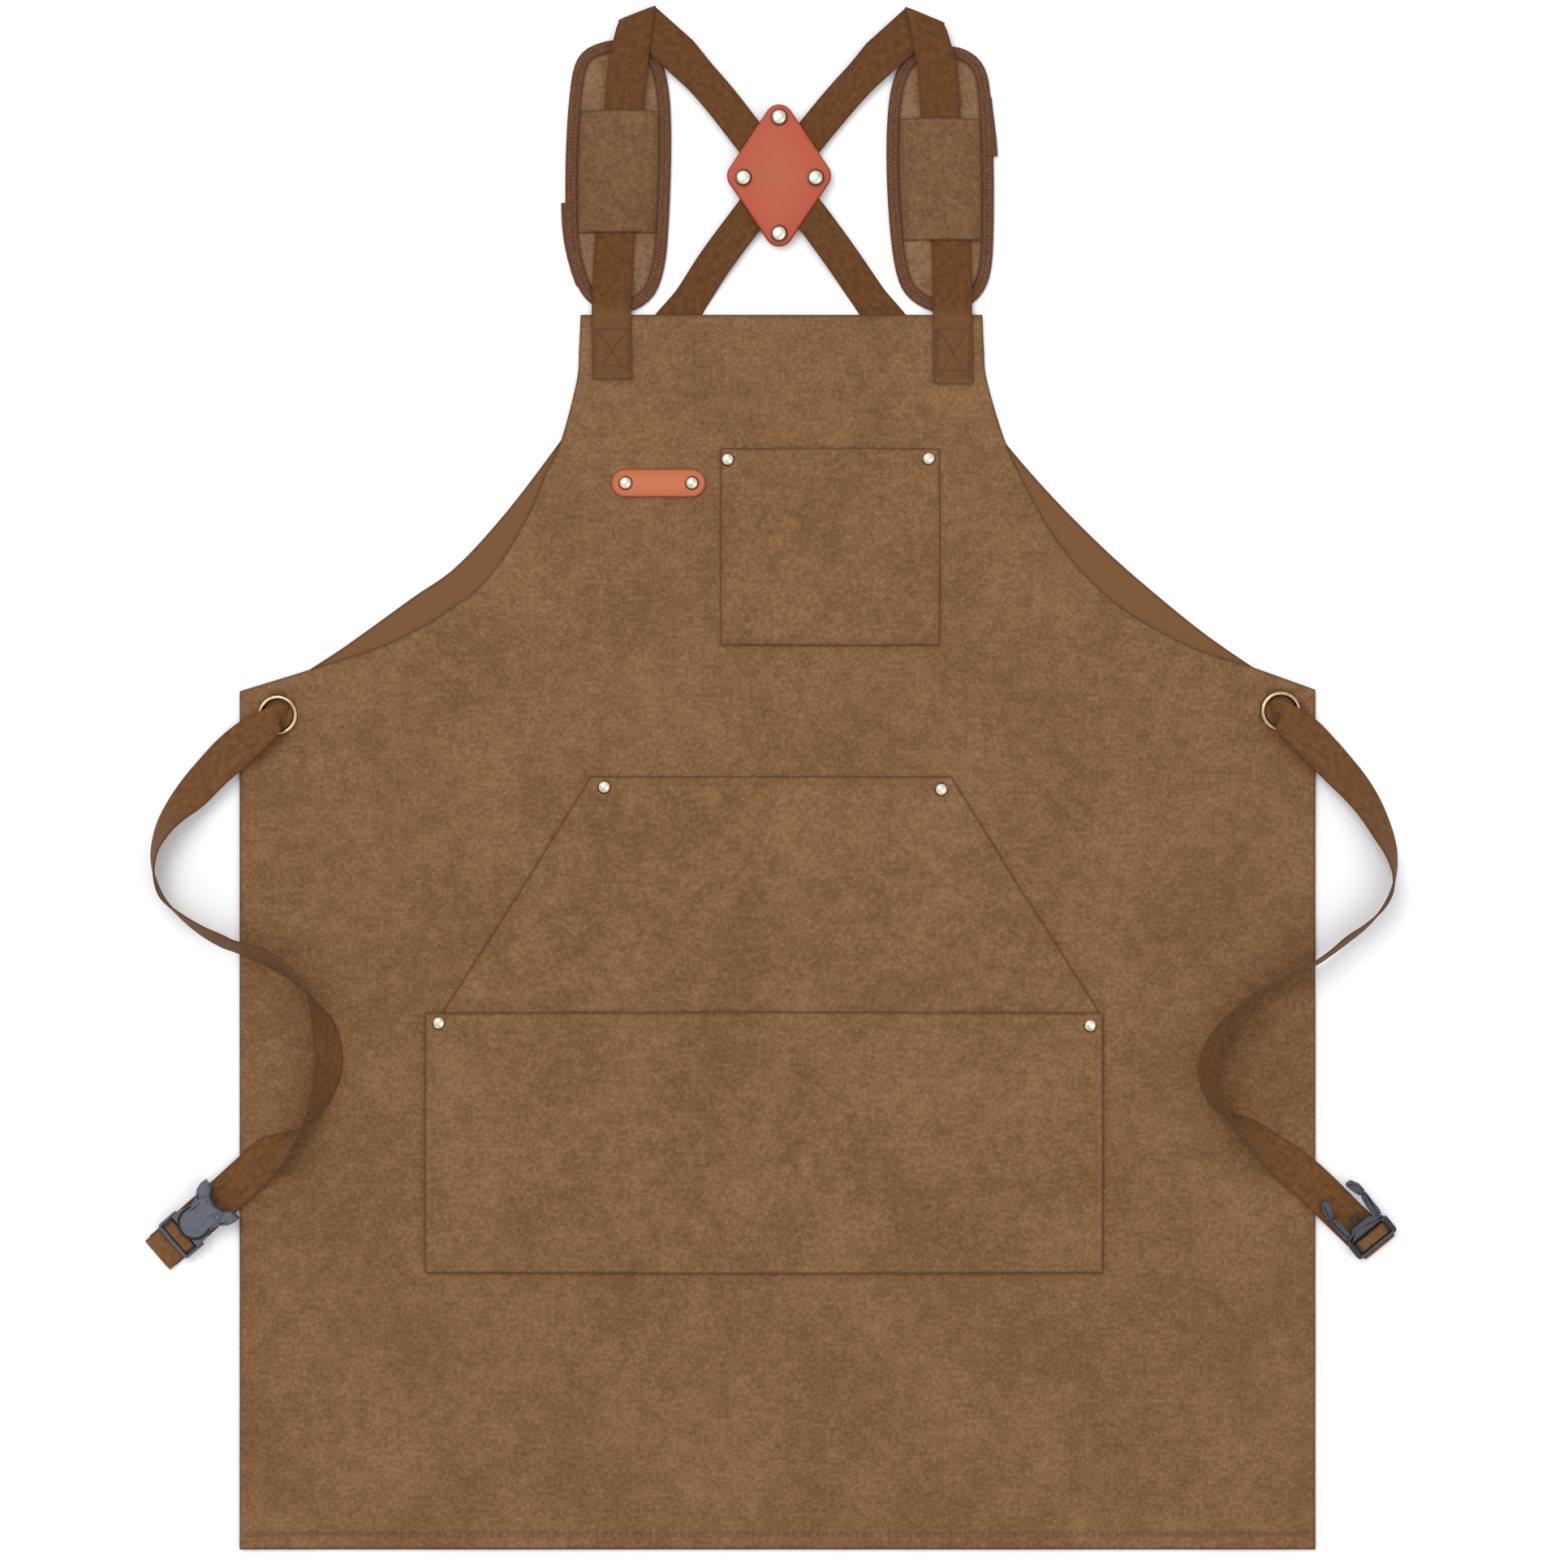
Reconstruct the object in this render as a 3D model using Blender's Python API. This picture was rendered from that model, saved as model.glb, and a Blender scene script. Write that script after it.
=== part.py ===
"""Cross-back canvas work apron, laid flat on the floor. Metres, +Z up, +Y toward the bib's top."""

import math

import bpy
from mathutils import Matrix, Vector
from mathutils.geometry import tessellate_polygon

mm = 0.001

# Driving dimensions, in millimetres.
webbingWidth = 25.0
webbingThick = 1.4
canvasThick = 1.0
gap = 0.35
skirtHalfWidth = 340.0
skirtBottom = -487.5
bibTop = 293.0
hemWidth = 7.0
rivetRadius = 3.8
crossRivetRadius = 5.0
shankRadius = 1.5
grommetHole = 9.8
grommetOuter = 12.6
bindingWidth = 8.0
padThick = 6.0
padEndThick = 3.2
leatherThick = 1.8
tagThick = 1.6
hemTop = 50.0
buckleTilt = math.radians(3.6)
frameLow, frameHigh = 2.4, 5.2
socketLow, socketHigh = 2.0, 9.2
femaleStart, maleStart = 12.2, 1.9
slotIn, slotWide, barWidth = 2.0, 2.1, 5.4

# Heights of the layers, from the floor up.
backStrapMid = webbingThick / 2
panelBottom = webbingThick + gap
panelTop = panelBottom + canvasThick
pocketBottom = panelTop + gap
pocketTop = pocketBottom + canvasThick
lowerPocketBottom = pocketTop + gap
lowerPocketTop = lowerPocketBottom + canvasThick
patchMid = panelTop + gap + webbingThick / 2
padStrapMid = padThick + gap + webbingThick / 2
foldUnderMid = padStrapMid - webbingThick - gap
bibEdgeMid = padEndThick + gap + webbingThick / 2
crossBackLow = 0.8 + gap
crossLowMid = crossBackLow + leatherThick + gap + webbingThick / 2
crossHighMid = crossLowMid + webbingThick + gap
crossFrontLow = crossHighMid + webbingThick / 2 + gap

# Where along Y a strap changes height: over the bib's edge, onto the pad, under the fold, to the floor.
overBibEdge = (278, 291)
ontoPad = (297, 318)
underFold = (422, 448)
toFloor = (303, 334)
padTopThins = (37, 45)
padFootThins = (10, 30)

leftGrommet = (-316.0, 40.0)
rightGrommet = (318.0, 42.5)
crossCentre = (1.0, 380.5)

armholeLeft = [(-124.5, 293), (-125.5, 271.5), (-127, 251), (-137, 213), (-146, 194), (-157.5, 167),
               (-173, 140), (-187, 122.5), (-201, 111), (-228.5, 93.5), (-256, 81.5), (-294.5, 69), (-340, 55)]
armholeRight = [(129.5, 293), (130.5, 271.5), (132.5, 251), (145, 210), (160, 179), (171, 159),
                (187.5, 136.5), (205, 118.5), (222, 105), (239, 94.5), (256, 85.5), (273, 78.5),
                (298, 71), (340, 56)]

# Centre lines of the two shoulder straps, each from its patch on the bib over the fold to its grommet.
leftRise = [(-104.5, 252.5), (-104.5, 271.5), (-105, 293), (-102.5, 343.5), (-97, 421.5), (-94, 454)]
leftFall = [(-62.5, 457.5), (-40, 433), (-19.5, 407), (1, 380.5), (23, 352.5), (44.5, 323), (65.5, 293.5),
            (98.5, 249.5), (133, 206), (161.5, 173), (196.5, 137.5), (231, 107), (266, 79), (304, 53)]
leftFold = ((-100.5, 478), (-77, 487.5))
rightRise = [(111, 249.5), (111, 271.5), (110.5, 293), (109.5, 339.5), (103, 417), (100.5, 451.5)]
rightFall = [(65, 455.5), (42, 431), (21.5, 406.5), (1, 380.5), (-17, 356.5), (-40, 325.5), (-61.5, 293.5),
             (-96.5, 249.5), (-129, 203.5), (-163.5, 158.5), (-195.5, 124), (-225, 103), (-264.5, 74.5),
             (-286.5, 60), (-302, 50)]
rightFold = ((80.5, 486.5), (105.5, 476.5))

padLeft = [(-105.5, 466.5), (-120, 461.5), (-128, 451), (-131.5, 430), (-133.5, 400), (-134, 370), (-133, 338.5),
           (-127, 313), (-118, 300.5), (-104, 295), (-90, 296.5), (-78, 306), (-72, 322.5), (-69.5, 343.5),
           (-67.8, 379.5), (-67.5, 410.5), (-69, 435), (-74, 454), (-84, 463.5), (-95, 466.5)]
padRight = [(107, 463), (119, 460.5), (128.5, 453), (133.5, 440), (135.5, 415), (136.5, 385), (136.5, 350),
            (135, 323), (130, 308), (120, 298.5), (106, 295), (93, 297.5), (81, 306.5), (75, 321),
            (71.5, 345), (69.5, 375), (69.2, 405), (71, 430), (75.5, 447), (84, 458.5), (95, 462.5)]
sleeveLeftSpan = (344.5, 421.5)
sleeveRightSpan = (339.5, 416.5)

# Each tie, from its grommet to the fold at its buckle. A row is the edge near the floor, then the
# edge that stands up, each as x, y and height.
leftTie = [(-311.5, 45.5, 2.9, -320, 34.5, 4.4), (-316, 47, 5.4, -315, 33, 12),
           (-326.6, 42.6, 6.9, -312.8, 30.3, 22), (-340, 35.4, 5.2, -323.1, 18.5, 13.5),
           (-353.4, 24.7, 3.7, -336.4, 6.7, 8), (-365.2, 12.3, 2.2, -348.2, -4.1, 12),
           (-376, -.5, .8, -361.1, -16.9, 13), (-385.2, -13.9, .7, -372.9, -26.2, 19),
           (-391.9, -26.7, .7, -380.6, -33.9, 22), (-395.5, -39.5, .7, -387.3, -43.6, 24),
           (-396, -51.9, .7, -390.1, -52.9, 25), (-393.4, -63.7, .7, -390.3, -62.7, 25.5),
           (-387.8, -76, .7, -386.2, -74.5, 25.6), (-378, -87.8, .7, -375, -84.1, 25.5),
           (-365.2, -98.6, 1, -361.2, -92.3, 25), (-352.3, -106.3, 2.6, -348.4, -97.7, 26),
           (-342.6, -109.9, 3.8, -339.5, -101.7, 27.2), (-333.8, -113.5, 3.8, -330.8, -103.7, 26.7),
           (-322.5, -118.6, 3.8, -317.4, -108.6, 26), (-311.2, -124.8, 3.8, -306.1, -117.1, 26.8),
           (-299.9, -133.5, 3.8, -296.9, -128.4, 28), (-289.2, -143.3, 3.8, -292.8, -142.3, 28.3),
           (-280.9, -152.5, 3.8, -291.2, -155.6, 26.3), (-275.8, -167.4, 3.8, -290.2, -168.5, 24),
           (-275.3, -182.8, 3.8, -289.9, -181.3, 24), (-279.4, -197.2, 3.8, -291.2, -193.6, 25.5),
           (-286.1, -209, 3.8, -294.3, -207, 27), (-294.3, -217.2, 3.8, -297.9, -218.8, 28.3),
           (-304.1, -221.9, 3.8, -303, -229.6, 27.3), (-314.8, -224.4, 3.8, -309.7, -241.4, 21.2),
           (-326.6, -228, 3.8, -316.4, -249.6, 10.5), (-339.5, -238.3, 3.8, -323.6, -256.8, 7.2),
           (-357.5, -254.7, 3.6, -340.5, -272.7, 4.6), (-371.3, -266.6, 2.3, -354.4, -284.5, 3.2),
           (-386, -279.7, 1.2, -369.3, -298.2, 1.6), (-399.2, -291.3, .7, -382.5, -309.8, .7)]
rightTie = [(313.5, 48, 2.9, 322, 37, 4.4), (318, 49.5, 5.4, 317, 35.5, 12),
            (328.7, 44.2, 6.9, 313.8, 30.8, 20), (340.5, 36.5, 5.2, 324.6, 19, 13.5),
            (352.3, 24.7, 3.7, 335.9, 7.7, 11), (363.1, 12.3, 2.2, 347.2, -3.6, 12.5),
            (372.4, 1, .8, 358, -14.4, 14), (380.1, -11.3, .7, 367.2, -25.7, 16.5),
            (385.7, -24.1, .7, 374.9, -37.5, 18.8), (389.8, -36.5, .7, 380.6, -46.7, 21.5),
            (391.9, -47.8, .7, 384.2, -55.5, 23), (391.4, -60.1, .7, 385.7, -63.2, 24.8),
            (387.8, -71.9, .7, 384.9, -72.4, 25.5), (381.6, -83.2, .7, 379.6, -81.7, 25.6),
            (372.4, -94.5, .7, 369.6, -90.6, 25.4), (360.5, -104.3, 1, 357, -98.8, 25.5),
            (349.7, -111.8, 2.6, 346.6, -107.7, 27.2), (341.6, -117, 3.8, 338.9, -113.1, 28.6),
            (333.8, -120.2, 3.8, 332.4, -116.9, 28.8), (319.5, -126.3, 3.8, 318, -123.7, 28.8),
            (303.5, -135.1, 3.8, 302.2, -133, 28.8), (291.7, -143.8, 3.8, 292.8, -144.8, 28.8),
            (280.9, -153.6, 3.8, 284, -155.1, 28.6), (271.7, -165.4, 3.8, 277.9, -167.4, 28),
            (266.6, -179.2, 3.8, 275.5, -179.8, 27.2), (267.1, -192.6, 3.8, 276.3, -192.6, 27),
            (272.2, -203.9, 3.8, 279.1, -201.8, 27.7), (279.9, -210.1, 3.8, 284, -212.6, 28.3),
            (289.7, -212.6, 3.8, 290.7, -223.9, 26), (302, -216.7, 3.8, 299.4, -234.2, 21.3),
            (314.8, -224.4, 3.8, 305.6, -243.4, 16.5), (328.2, -232.7, 3.8, 311.2, -249.6, 8.6),
            (342.1, -243.4, 3.8, 325.6, -261.9, 5), (356.4, -256.8, 3.2, 339.5, -275.3, 4.4),
            (370.8, -271.2, 2.1, 353.9, -289.2, 2.6), (390.6, -287.8, .7, 369.6, -304.3, .7)]

leftCrease = ((-399.5, -291.5), (-383.0, -310.5))
rightCrease = ((391.0, -287.5), (370.0, -304.5))

bodyRivets = {
    "leather_tag_left_rivet": (-96, 186.5), "leather_tag_right_rivet": (-54, 186.5),
    "chest_pocket_left_rivet": (-31.5, 201.5), "chest_pocket_right_rivet": (95.5, 202),
    "hand_pocket_left_rivet": (-109.5, -5.5), "hand_pocket_right_rivet": (103.5, -7),
    "lower_pocket_left_rivet": (-214, -154.5), "lower_pocket_right_rivet": (197.5, -156),
}


def material(name, color, roughness, metallic=0.0):
    made = bpy.data.materials.new(name)
    made.use_nodes = True
    shader = made.node_tree.nodes["Principled BSDF"]
    shader.inputs["Base Color"].default_value = (*color, 1.0)
    shader.inputs["Roughness"].default_value = roughness
    shader.inputs["Metallic"].default_value = metallic
    return made


finishes = {
    "canvas": ((0.24, 0.12, 0.058), 0.9, 0.0),
    "webbing": ((0.16, 0.068, 0.027), 0.85, 0.0),
    "binding": ((0.14, 0.055, 0.03), 0.85, 0.0),
    "leather": ((0.51, 0.115, 0.055), 0.5, 0.0),
    "brass": ((0.72, 0.6, 0.42), 0.3, 1.0),
    "plastic": ((0.055, 0.06, 0.068), 0.45, 0.0),
}


def solid(name, finish, points, faces, matrix=None, origin=None):
    """One closed body from points in millimetres, with its origin where it turns."""
    place = matrix or Matrix.Identity(4)
    pivot = Vector(origin) if origin else Vector((0, 0, 0))
    mesh = bpy.data.meshes.new(name)
    mesh.from_pydata([(place @ Vector(point) - pivot) * mm for point in points], [], faces)
    mesh.update()
    made = bpy.data.objects.new(name, mesh)
    made.location = pivot * mm
    bpy.context.scene.collection.objects.link(made)
    mesh.materials.append(material(name + "_finish", *finishes[finish]))
    return made


def smooth(points, steps):
    """Catmull-Rom curve through the points, with `steps` stretches between neighbours."""
    rows = [Vector(point) for point in points]
    ends = [rows[0] * 2 - rows[1]] + rows + [rows[-1] * 2 - rows[-2]]
    made = []
    for a, b, c, d in zip(ends, ends[1:], ends[2:], ends[3:]):
        for step in range(steps):
            t = step / steps
            made.append(0.5 * (2 * b + (c - a) * t + (2 * a - 5 * b + 4 * c - d) * t ** 2
                               + (3 * b - a - 3 * c + d) * t ** 3))
    return made + [rows[-1]]


def circle(centre, radius, count=16):
    return [(centre[0] + radius * math.cos(math.tau * i / count),
             centre[1] + radius * math.sin(math.tau * i / count)) for i in range(count)]


def rounded(corners, radius, count=4):
    """A polygon whose corners are arcs; radius is one number or one for each corner."""
    made = []
    total = len(corners)
    for i in range(total):
        here = Vector(corners[i])
        before = (Vector(corners[i - 1]) - here).normalized()
        after = (Vector(corners[(i + 1) % total]) - here).normalized()
        size = radius[i] if isinstance(radius, (list, tuple)) else radius
        half = before.angle(after) / 2
        reach = size / math.tan(half)
        centre = here + (before + after).normalized() * size / math.sin(half)
        start = here + before * reach - centre
        sweep = start.angle_signed(here + after * reach - centre)
        for step in range(count + 1):
            turn = -sweep * step / count
            made.append((centre.x + start.x * math.cos(turn) - start.y * math.sin(turn),
                         centre.y + start.x * math.sin(turn) + start.y * math.cos(turn)))
    return made


def signedArea(loop):
    return sum(a[0] * b[1] - b[0] * a[1] for a, b in zip(loop, loop[1:] + loop[:1])) / 2


def plate(name, finish, outline, low, high, holes=(), matrix=None, origin=None):
    """An outline drawn up from one height to another, with holes through it."""
    loops = [[tuple(point[:2]) for point in outline]] + [list(hole) for hole in holes]
    loops = [loop if signedArea(loop) * (1 if i == 0 else -1) > 0 else loop[::-1]
             for i, loop in enumerate(loops)]
    flat = [point for loop in loops for point in loop]
    count = len(flat)
    points = [(x, y, low) for x, y in flat] + [(x, y, high) for x, y in flat]
    triangles = tessellate_polygon([[Vector((*point, 0)) for point in loop] for loop in loops])
    faces = []
    for a, b, c in triangles:
        turn = signedArea([flat[a], flat[b], flat[c]])
        up = (a, b, c) if turn > 0 else (c, b, a)
        faces.append(tuple(i + count for i in up))
        faces.append(up[::-1])
    start = 0
    for loop in loops:
        total = len(loop)
        for i in range(total):
            a, b = start + i, start + (i + 1) % total
            faces.append((a, b, b + count, a + count))
        start += total
    return solid(name, finish, points, faces, matrix, origin)


def ribbon(name, finish, pairs, thick, matrix=None, origin=None):
    """A flat band through pairs of edge points, with its thickness across their surface."""
    rows = [(Vector(a), Vector(b)) for a, b in pairs]
    points = []
    for i, (left, right) in enumerate(rows):
        before = rows[max(i - 1, 0)]
        after = rows[min(i + 1, len(rows) - 1)]
        run = (after[0] + after[1]) - (before[0] + before[1])
        normal = (right - left).cross(run).normalized() * thick / 2
        points += [left + normal, right + normal, right - normal, left - normal]
    faces = [(3, 2, 1, 0)]
    for i in range(len(rows) - 1):
        for side in range(4):
            a, b = 4 * i + side, 4 * i + (side + 1) % 4
            faces.append((a, b, b + 4, a + 4))
    last = 4 * (len(rows) - 1)
    faces.append((last, last + 1, last + 2, last + 3))
    return solid(name, finish, points, faces, matrix, origin)


def turned(name, finish, profile, centre, count=20, matrix=None, closed=False):
    """A profile of radius and height turned about a vertical axis."""
    points = []
    for i in range(count):
        turn = math.tau * i / count
        points += [(centre[0] + r * math.cos(turn), centre[1] + r * math.sin(turn), z) for r, z in profile]
    size = len(profile)
    faces = []
    for i in range(count):
        a, b = i * size, ((i + 1) % count) * size
        for j in range(size if closed else size - 1):
            k = (j + 1) % size
            faces.append((a + j, b + j, b + k, a + k))
    if not closed:
        faces.append(tuple(i * size for i in reversed(range(count))))
        faces.append(tuple(i * size + size - 1 for i in range(count)))
    return solid(name, finish, points, faces, matrix)


def rivet(name, centre, low, high, head, backLow, backHigh):
    """A tubular rivet: back cap, shank and domed head in one piece."""
    crown = 1.5 if head < 4.5 else 1.9
    profile = [(head * 0.9, backLow), (head * 0.9, backHigh), (shankRadius, backHigh), (shankRadius, high),
               (head, high), (head, high + crown * 0.35), (head * 0.72, high + crown * 0.85),
               (head * 0.35, high + crown)]
    return turned(name, "brass", profile, centre)


def bandAlong(points, width):
    """Edge pairs of a flat band along a centre line with heights."""
    pairs = []
    for i, here in enumerate(points):
        run = points[min(i + 1, len(points) - 1)] - points[max(i - 1, 0)]
        across = Vector((run.y, -run.x, 0)).normalized() * width / 2
        pairs.append((here - across, here + across))
    return pairs


def eased(value, start, end, low, high):
    """Height that eases from low to high as value goes from start to end."""
    t = min(max((value - start) / (end - start), 0), 1)
    return low + (high - low) * t * t * (3 - 2 * t)


def shoulderStrap(name, rise, fall, fold, crossMid):
    """Webbing from the bib's patch up over the pad, round the top fold and down to the grommet."""
    up = [Vector((p.x, p.y, eased(p.y, *overBibEdge, patchMid, bibEdgeMid)
                  + eased(p.y, *ontoPad, 0, padStrapMid - bibEdgeMid))) for p in smooth(rise, 4)]
    pairs = bandAlong(up, webbingWidth)
    foldPair = [Vector((*point, padStrapMid)) for point in fold]
    for step in (0.35, 0.7):
        a, b = pairs[len(up) - 1]
        pairs.append((a.lerp(foldPair[0], step), b.lerp(foldPair[1], step)))
    radius = (padStrapMid - foldUnderMid) / 2
    along = (foldPair[1] - foldPair[0]).normalized()
    outward = Vector((-along.y, along.x, 0))
    for i in range(6):
        turn = math.pi * i / 5
        lift = Vector((0, 0, radius * (math.cos(turn) - 1))) + outward * radius * (math.sin(turn) - 1)
        pairs.append((foldPair[0] + lift, foldPair[1] + lift))
    down = []
    for p in smooth(fall, 4):
        if p.y > crossCentre[1]:
            height = eased(p.y, *underFold, crossMid, foldUnderMid)
        else:
            height = eased(p.y, *toFloor, backStrapMid, crossMid)
        down.append(Vector((p.x, p.y, height)))
    under = bandAlong(down, webbingWidth)
    folded, after = pairs[-1], under[0]
    if (folded[0] - after[0]).length > (folded[0] - after[1]).length:
        under = [(b, a) for a, b in under]
    pairs.append((folded[0].lerp(under[0][0], 0.4), folded[1].lerp(under[0][1], 0.4)))
    return ribbon(name, "webbing", pairs + under, webbingThick)


def inset(loop, distance):
    """The loop drawn in by a distance, for loops without tight corners."""
    made = []
    inward = 1 if signedArea([tuple(p[:2]) for p in loop]) > 0 else -1
    total = len(loop)
    for i in range(total):
        run = Vector(loop[(i + 1) % total][:2]) - Vector(loop[i - 1][:2])
        side = Vector((-run.y, run.x)).normalized() * distance * inward
        made.append((loop[i][0] + side.x, loop[i][1] + side.y))
    return made


def closedSmooth(points, steps):
    wrapped = [points[-1]] + list(points) + [points[0], points[1]]
    rows = smooth([(*p, 0) for p in wrapped], steps)
    return [(p.x, p.y) for p in rows[steps:-2 * steps]][:len(points) * steps]


def apronPanel():
    """The body of the apron with its doubled side and bottom hems, which it rests on."""
    left = [(p.x, p.y) for p in smooth([(*p, 0) for p in armholeLeft], 3)]
    right = [(p.x, p.y) for p in smooth([(*p, 0) for p in armholeRight], 3)]
    outline = left + [(-skirtHalfWidth, skirtBottom), (skirtHalfWidth, skirtBottom)] + right[::-1]
    holes = [circle(leftGrommet, grommetHole + 0.9, 20), circle(rightGrommet, grommetHole + 0.9, 20)]
    holes += [circle(place, shankRadius + gap, 8) for place in bodyRivets.values()]
    edge, low = skirtHalfWidth - 0.3, skirtBottom + 0.3
    inner = edge - hemWidth
    hem = [(-edge, low), (edge, low), (edge, hemTop), (inner, hemTop), (inner, low + hemWidth),
           (-inner, low + hemWidth), (-inner, hemTop), (-edge, hemTop)]
    joined("apron_panel", "canvas", None, None,
           [(outline, panelBottom, panelTop, holes), (hem, 0, panelBottom + canvasThick / 2)], [])


def pockets():
    hole = shankRadius + gap
    spots = list(bodyRivets.values())
    plate("leather_tag", "leather",
          rounded([(-105, 177.8), (-45.5, 177.8), (-45.5, 195.2), (-105, 195.2)], 8.6, 5),
          pocketBottom, pocketBottom + tagThick, [circle(spots[0], hole, 8), circle(spots[1], hole, 8)])
    plate("chest_pocket", "canvas", rounded([(-36, 84), (102.5, 84), (102.5, 208.5), (-36, 208.5)], 1.5, 2),
          pocketBottom, pocketTop, [circle(spots[2], hole, 8), circle(spots[3], hole, 8)])
    hand = [(-118, 1), (-210.5, -146), (-210.5, -306), (202.5, -306), (202.5, -146), (110, 1)]
    plate("hand_pocket", "canvas", hand, pocketBottom, pocketTop,
          [circle(spots[4], hole, 8), circle(spots[5], hole, 8), circle(spots[7], hole, 8)])
    lower = rounded([(-222.5, -312.5), (205.5, -312.5), (205.5, -148), (-222.5, -148)], 1.5, 2)
    plate("lower_pocket", "canvas", lower, lowerPocketBottom, lowerPocketTop,
          [circle(spots[6], hole, 8), circle(spots[7], hole, 8)])
    for name, centre in bodyRivets.items():
        top = pocketBottom + tagThick if name.startswith("leather") else pocketTop
        if name.startswith("lower"):
            top = lowerPocketTop
        rivet(name, centre, 0, top + gap, rivetRadius, 0.5, panelBottom - gap)


def grommet(name, centre):
    """A rolled brass ring, and the washer that it is clinched to behind the cloth."""
    inner, outer = grommetHole, grommetOuter
    low, high = panelBottom - gap - 0.8, panelTop + gap
    ring = [(inner, low + 1.2), (inner + 0.6, low + 1.2), (inner + 0.6, high), (outer, high),
            (outer, high + 0.5), ((inner + outer) / 2 + 0.5, high + 1.3), (inner + 0.5, high + 0.9),
            (inner, high + 0.2)]
    turned(name + "_grommet", "brass", ring, centre, 24, closed=True)
    washer = [(inner, low), (outer, low), (outer, low + 0.8), (inner, low + 0.8)]
    turned(name + "_grommet_washer", "brass", washer, centre, 24, closed=True)


def leatherCross():
    """Two leather diamonds riveted together round the crossing straps."""
    x, y = crossCentre
    corners = [(x, y + 52), (x - 34.5, y), (x, y - 51.5), (x + 34.5, y)]
    outline = rounded(corners, [9, 8, 9, 8], 5)
    places = {"top": (x, y + 36.3), "left": (x - 22.5, y - 1.8), "right": (x + 23, y - 1.8),
              "bottom": (x, y - 37)}
    holes = [circle(place, shankRadius + gap, 8) for place in places.values()]
    plate("leather_cross_back", "leather", outline, crossBackLow, crossBackLow + leatherThick, holes)
    plate("leather_cross_front", "leather", outline, crossFrontLow, crossFrontLow + leatherThick, holes)
    for side, place in places.items():
        rivet("cross_%s_rivet" % side, place, 0, crossFrontLow + leatherThick + gap, crossRivetRadius,
              0, crossBackLow - gap)


def padHeight(y, bottom, top):
    """Top of the pad: thin at both ends, so that it slides under the fold and clears the bib."""
    return (eased(top - y, *padTopThins, padEndThick, padThick)
            - eased(y - bottom, *padFootThins, padThick - padEndThick, 0))


def shoulderPad(side, outline, sleeveSpan):
    """A padded shoulder rest: its core, the binding round its edge and the sleeve over the strap."""
    outer = closedSmooth(outline, 2)
    inner = inset(outer, bindingWidth)
    core = inset(outer, bindingWidth + gap)
    bottom, top = min(p[1] for p in outer), max(p[1] for p in outer)
    plate(side + "_pad_binding", "binding", outer, 0, padEndThick, [inner])
    low, high = min(p[1] for p in core), max(p[1] for p in core)
    count = 22
    points, faces = [], []
    for i in range(count + 1):
        y = low + 0.4 + (high - low - 0.8) * (0.5 - 0.5 * math.cos(math.pi * i / count))
        crossings = sorted(a[0] + (b[0] - a[0]) * (y - a[1]) / (b[1] - a[1])
                           for a, b in zip(core, core[1:] + core[:1]) if (a[1] - y) * (b[1] - y) < 0)
        left, right = crossings[0], crossings[-1]
        height = padHeight(y, bottom, top)
        points += [(left, y, 0), (right, y, 0), (right, y, height), (left, y, height)]
    faces.append((0, 1, 2, 3))
    for i in range(count):
        for j in range(4):
            a, b = 4 * i + j, 4 * i + (j + 1) % 4
            faces.append((a, a + 4, b + 4, b))
    last = 4 * count
    faces.append((last + 3, last + 2, last + 1, last))
    solid(side + "_pad_core", "canvas", points, faces)
    ribs = [sleeveSpan[0] + (sleeveSpan[1] - sleeveSpan[0]) * i / 6 for i in range(7)]
    pairs = []
    for y in ribs:
        crossings = sorted(a[0] + (b[0] - a[0]) * (y - a[1]) / (b[1] - a[1])
                           for a, b in zip(inner, inner[1:] + inner[:1]) if (a[1] - y) * (b[1] - y) < 0)
        pairs.append((y, crossings[0] - 3, crossings[-1] + 3))
    strap = smooth(leftRise if side == "left" else rightRise, 6)
    points, faces = [], []
    base, crown = padThick + gap, padStrapMid + webbingThick / 2 + gap
    for y, left, right in pairs:
        nearest = min(strap, key=lambda p: abs(p.y - y)).x
        inL, inR = nearest - webbingWidth / 2 - 1.2, nearest + webbingWidth / 2 + 1.2
        under = [(left, base), (inL - 3.5, base), (inL, crown), (inR, crown), (inR + 3.5, base), (right, base)]
        over = [(right, base + 1), (inR + 3.9, base + 1), (inR + 0.6, crown + 1), (inL - 0.6, crown + 1),
                (inL - 3.9, base + 1), (left, base + 1)]
        points += [(x, y, z) for x, z in under + over]
    for i in range(len(pairs) - 1):
        for j in range(12):
            a, b = 12 * i + j, 12 * i + (j + 1) % 12
            faces.append((a, a + 12, b + 12, b))
    faces.append(tuple(range(12)))
    faces.append(tuple(reversed(range(12 * (len(pairs) - 1), 12 * len(pairs)))))
    solid(side + "_pad_sleeve", "canvas", points, faces)


def tie(name, rows, pivot):
    """Webbing on its edge from the grommet to the fold at the buckle."""
    smoothRows = smooth([Vector(row[:3]) for row in rows], 2), smooth([Vector(row[3:]) for row in rows], 2)
    pairs = list(zip(*smoothRows))
    ribbon(name, "webbing", pairs, webbingThick, origin=(*pivot, 0))


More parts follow.
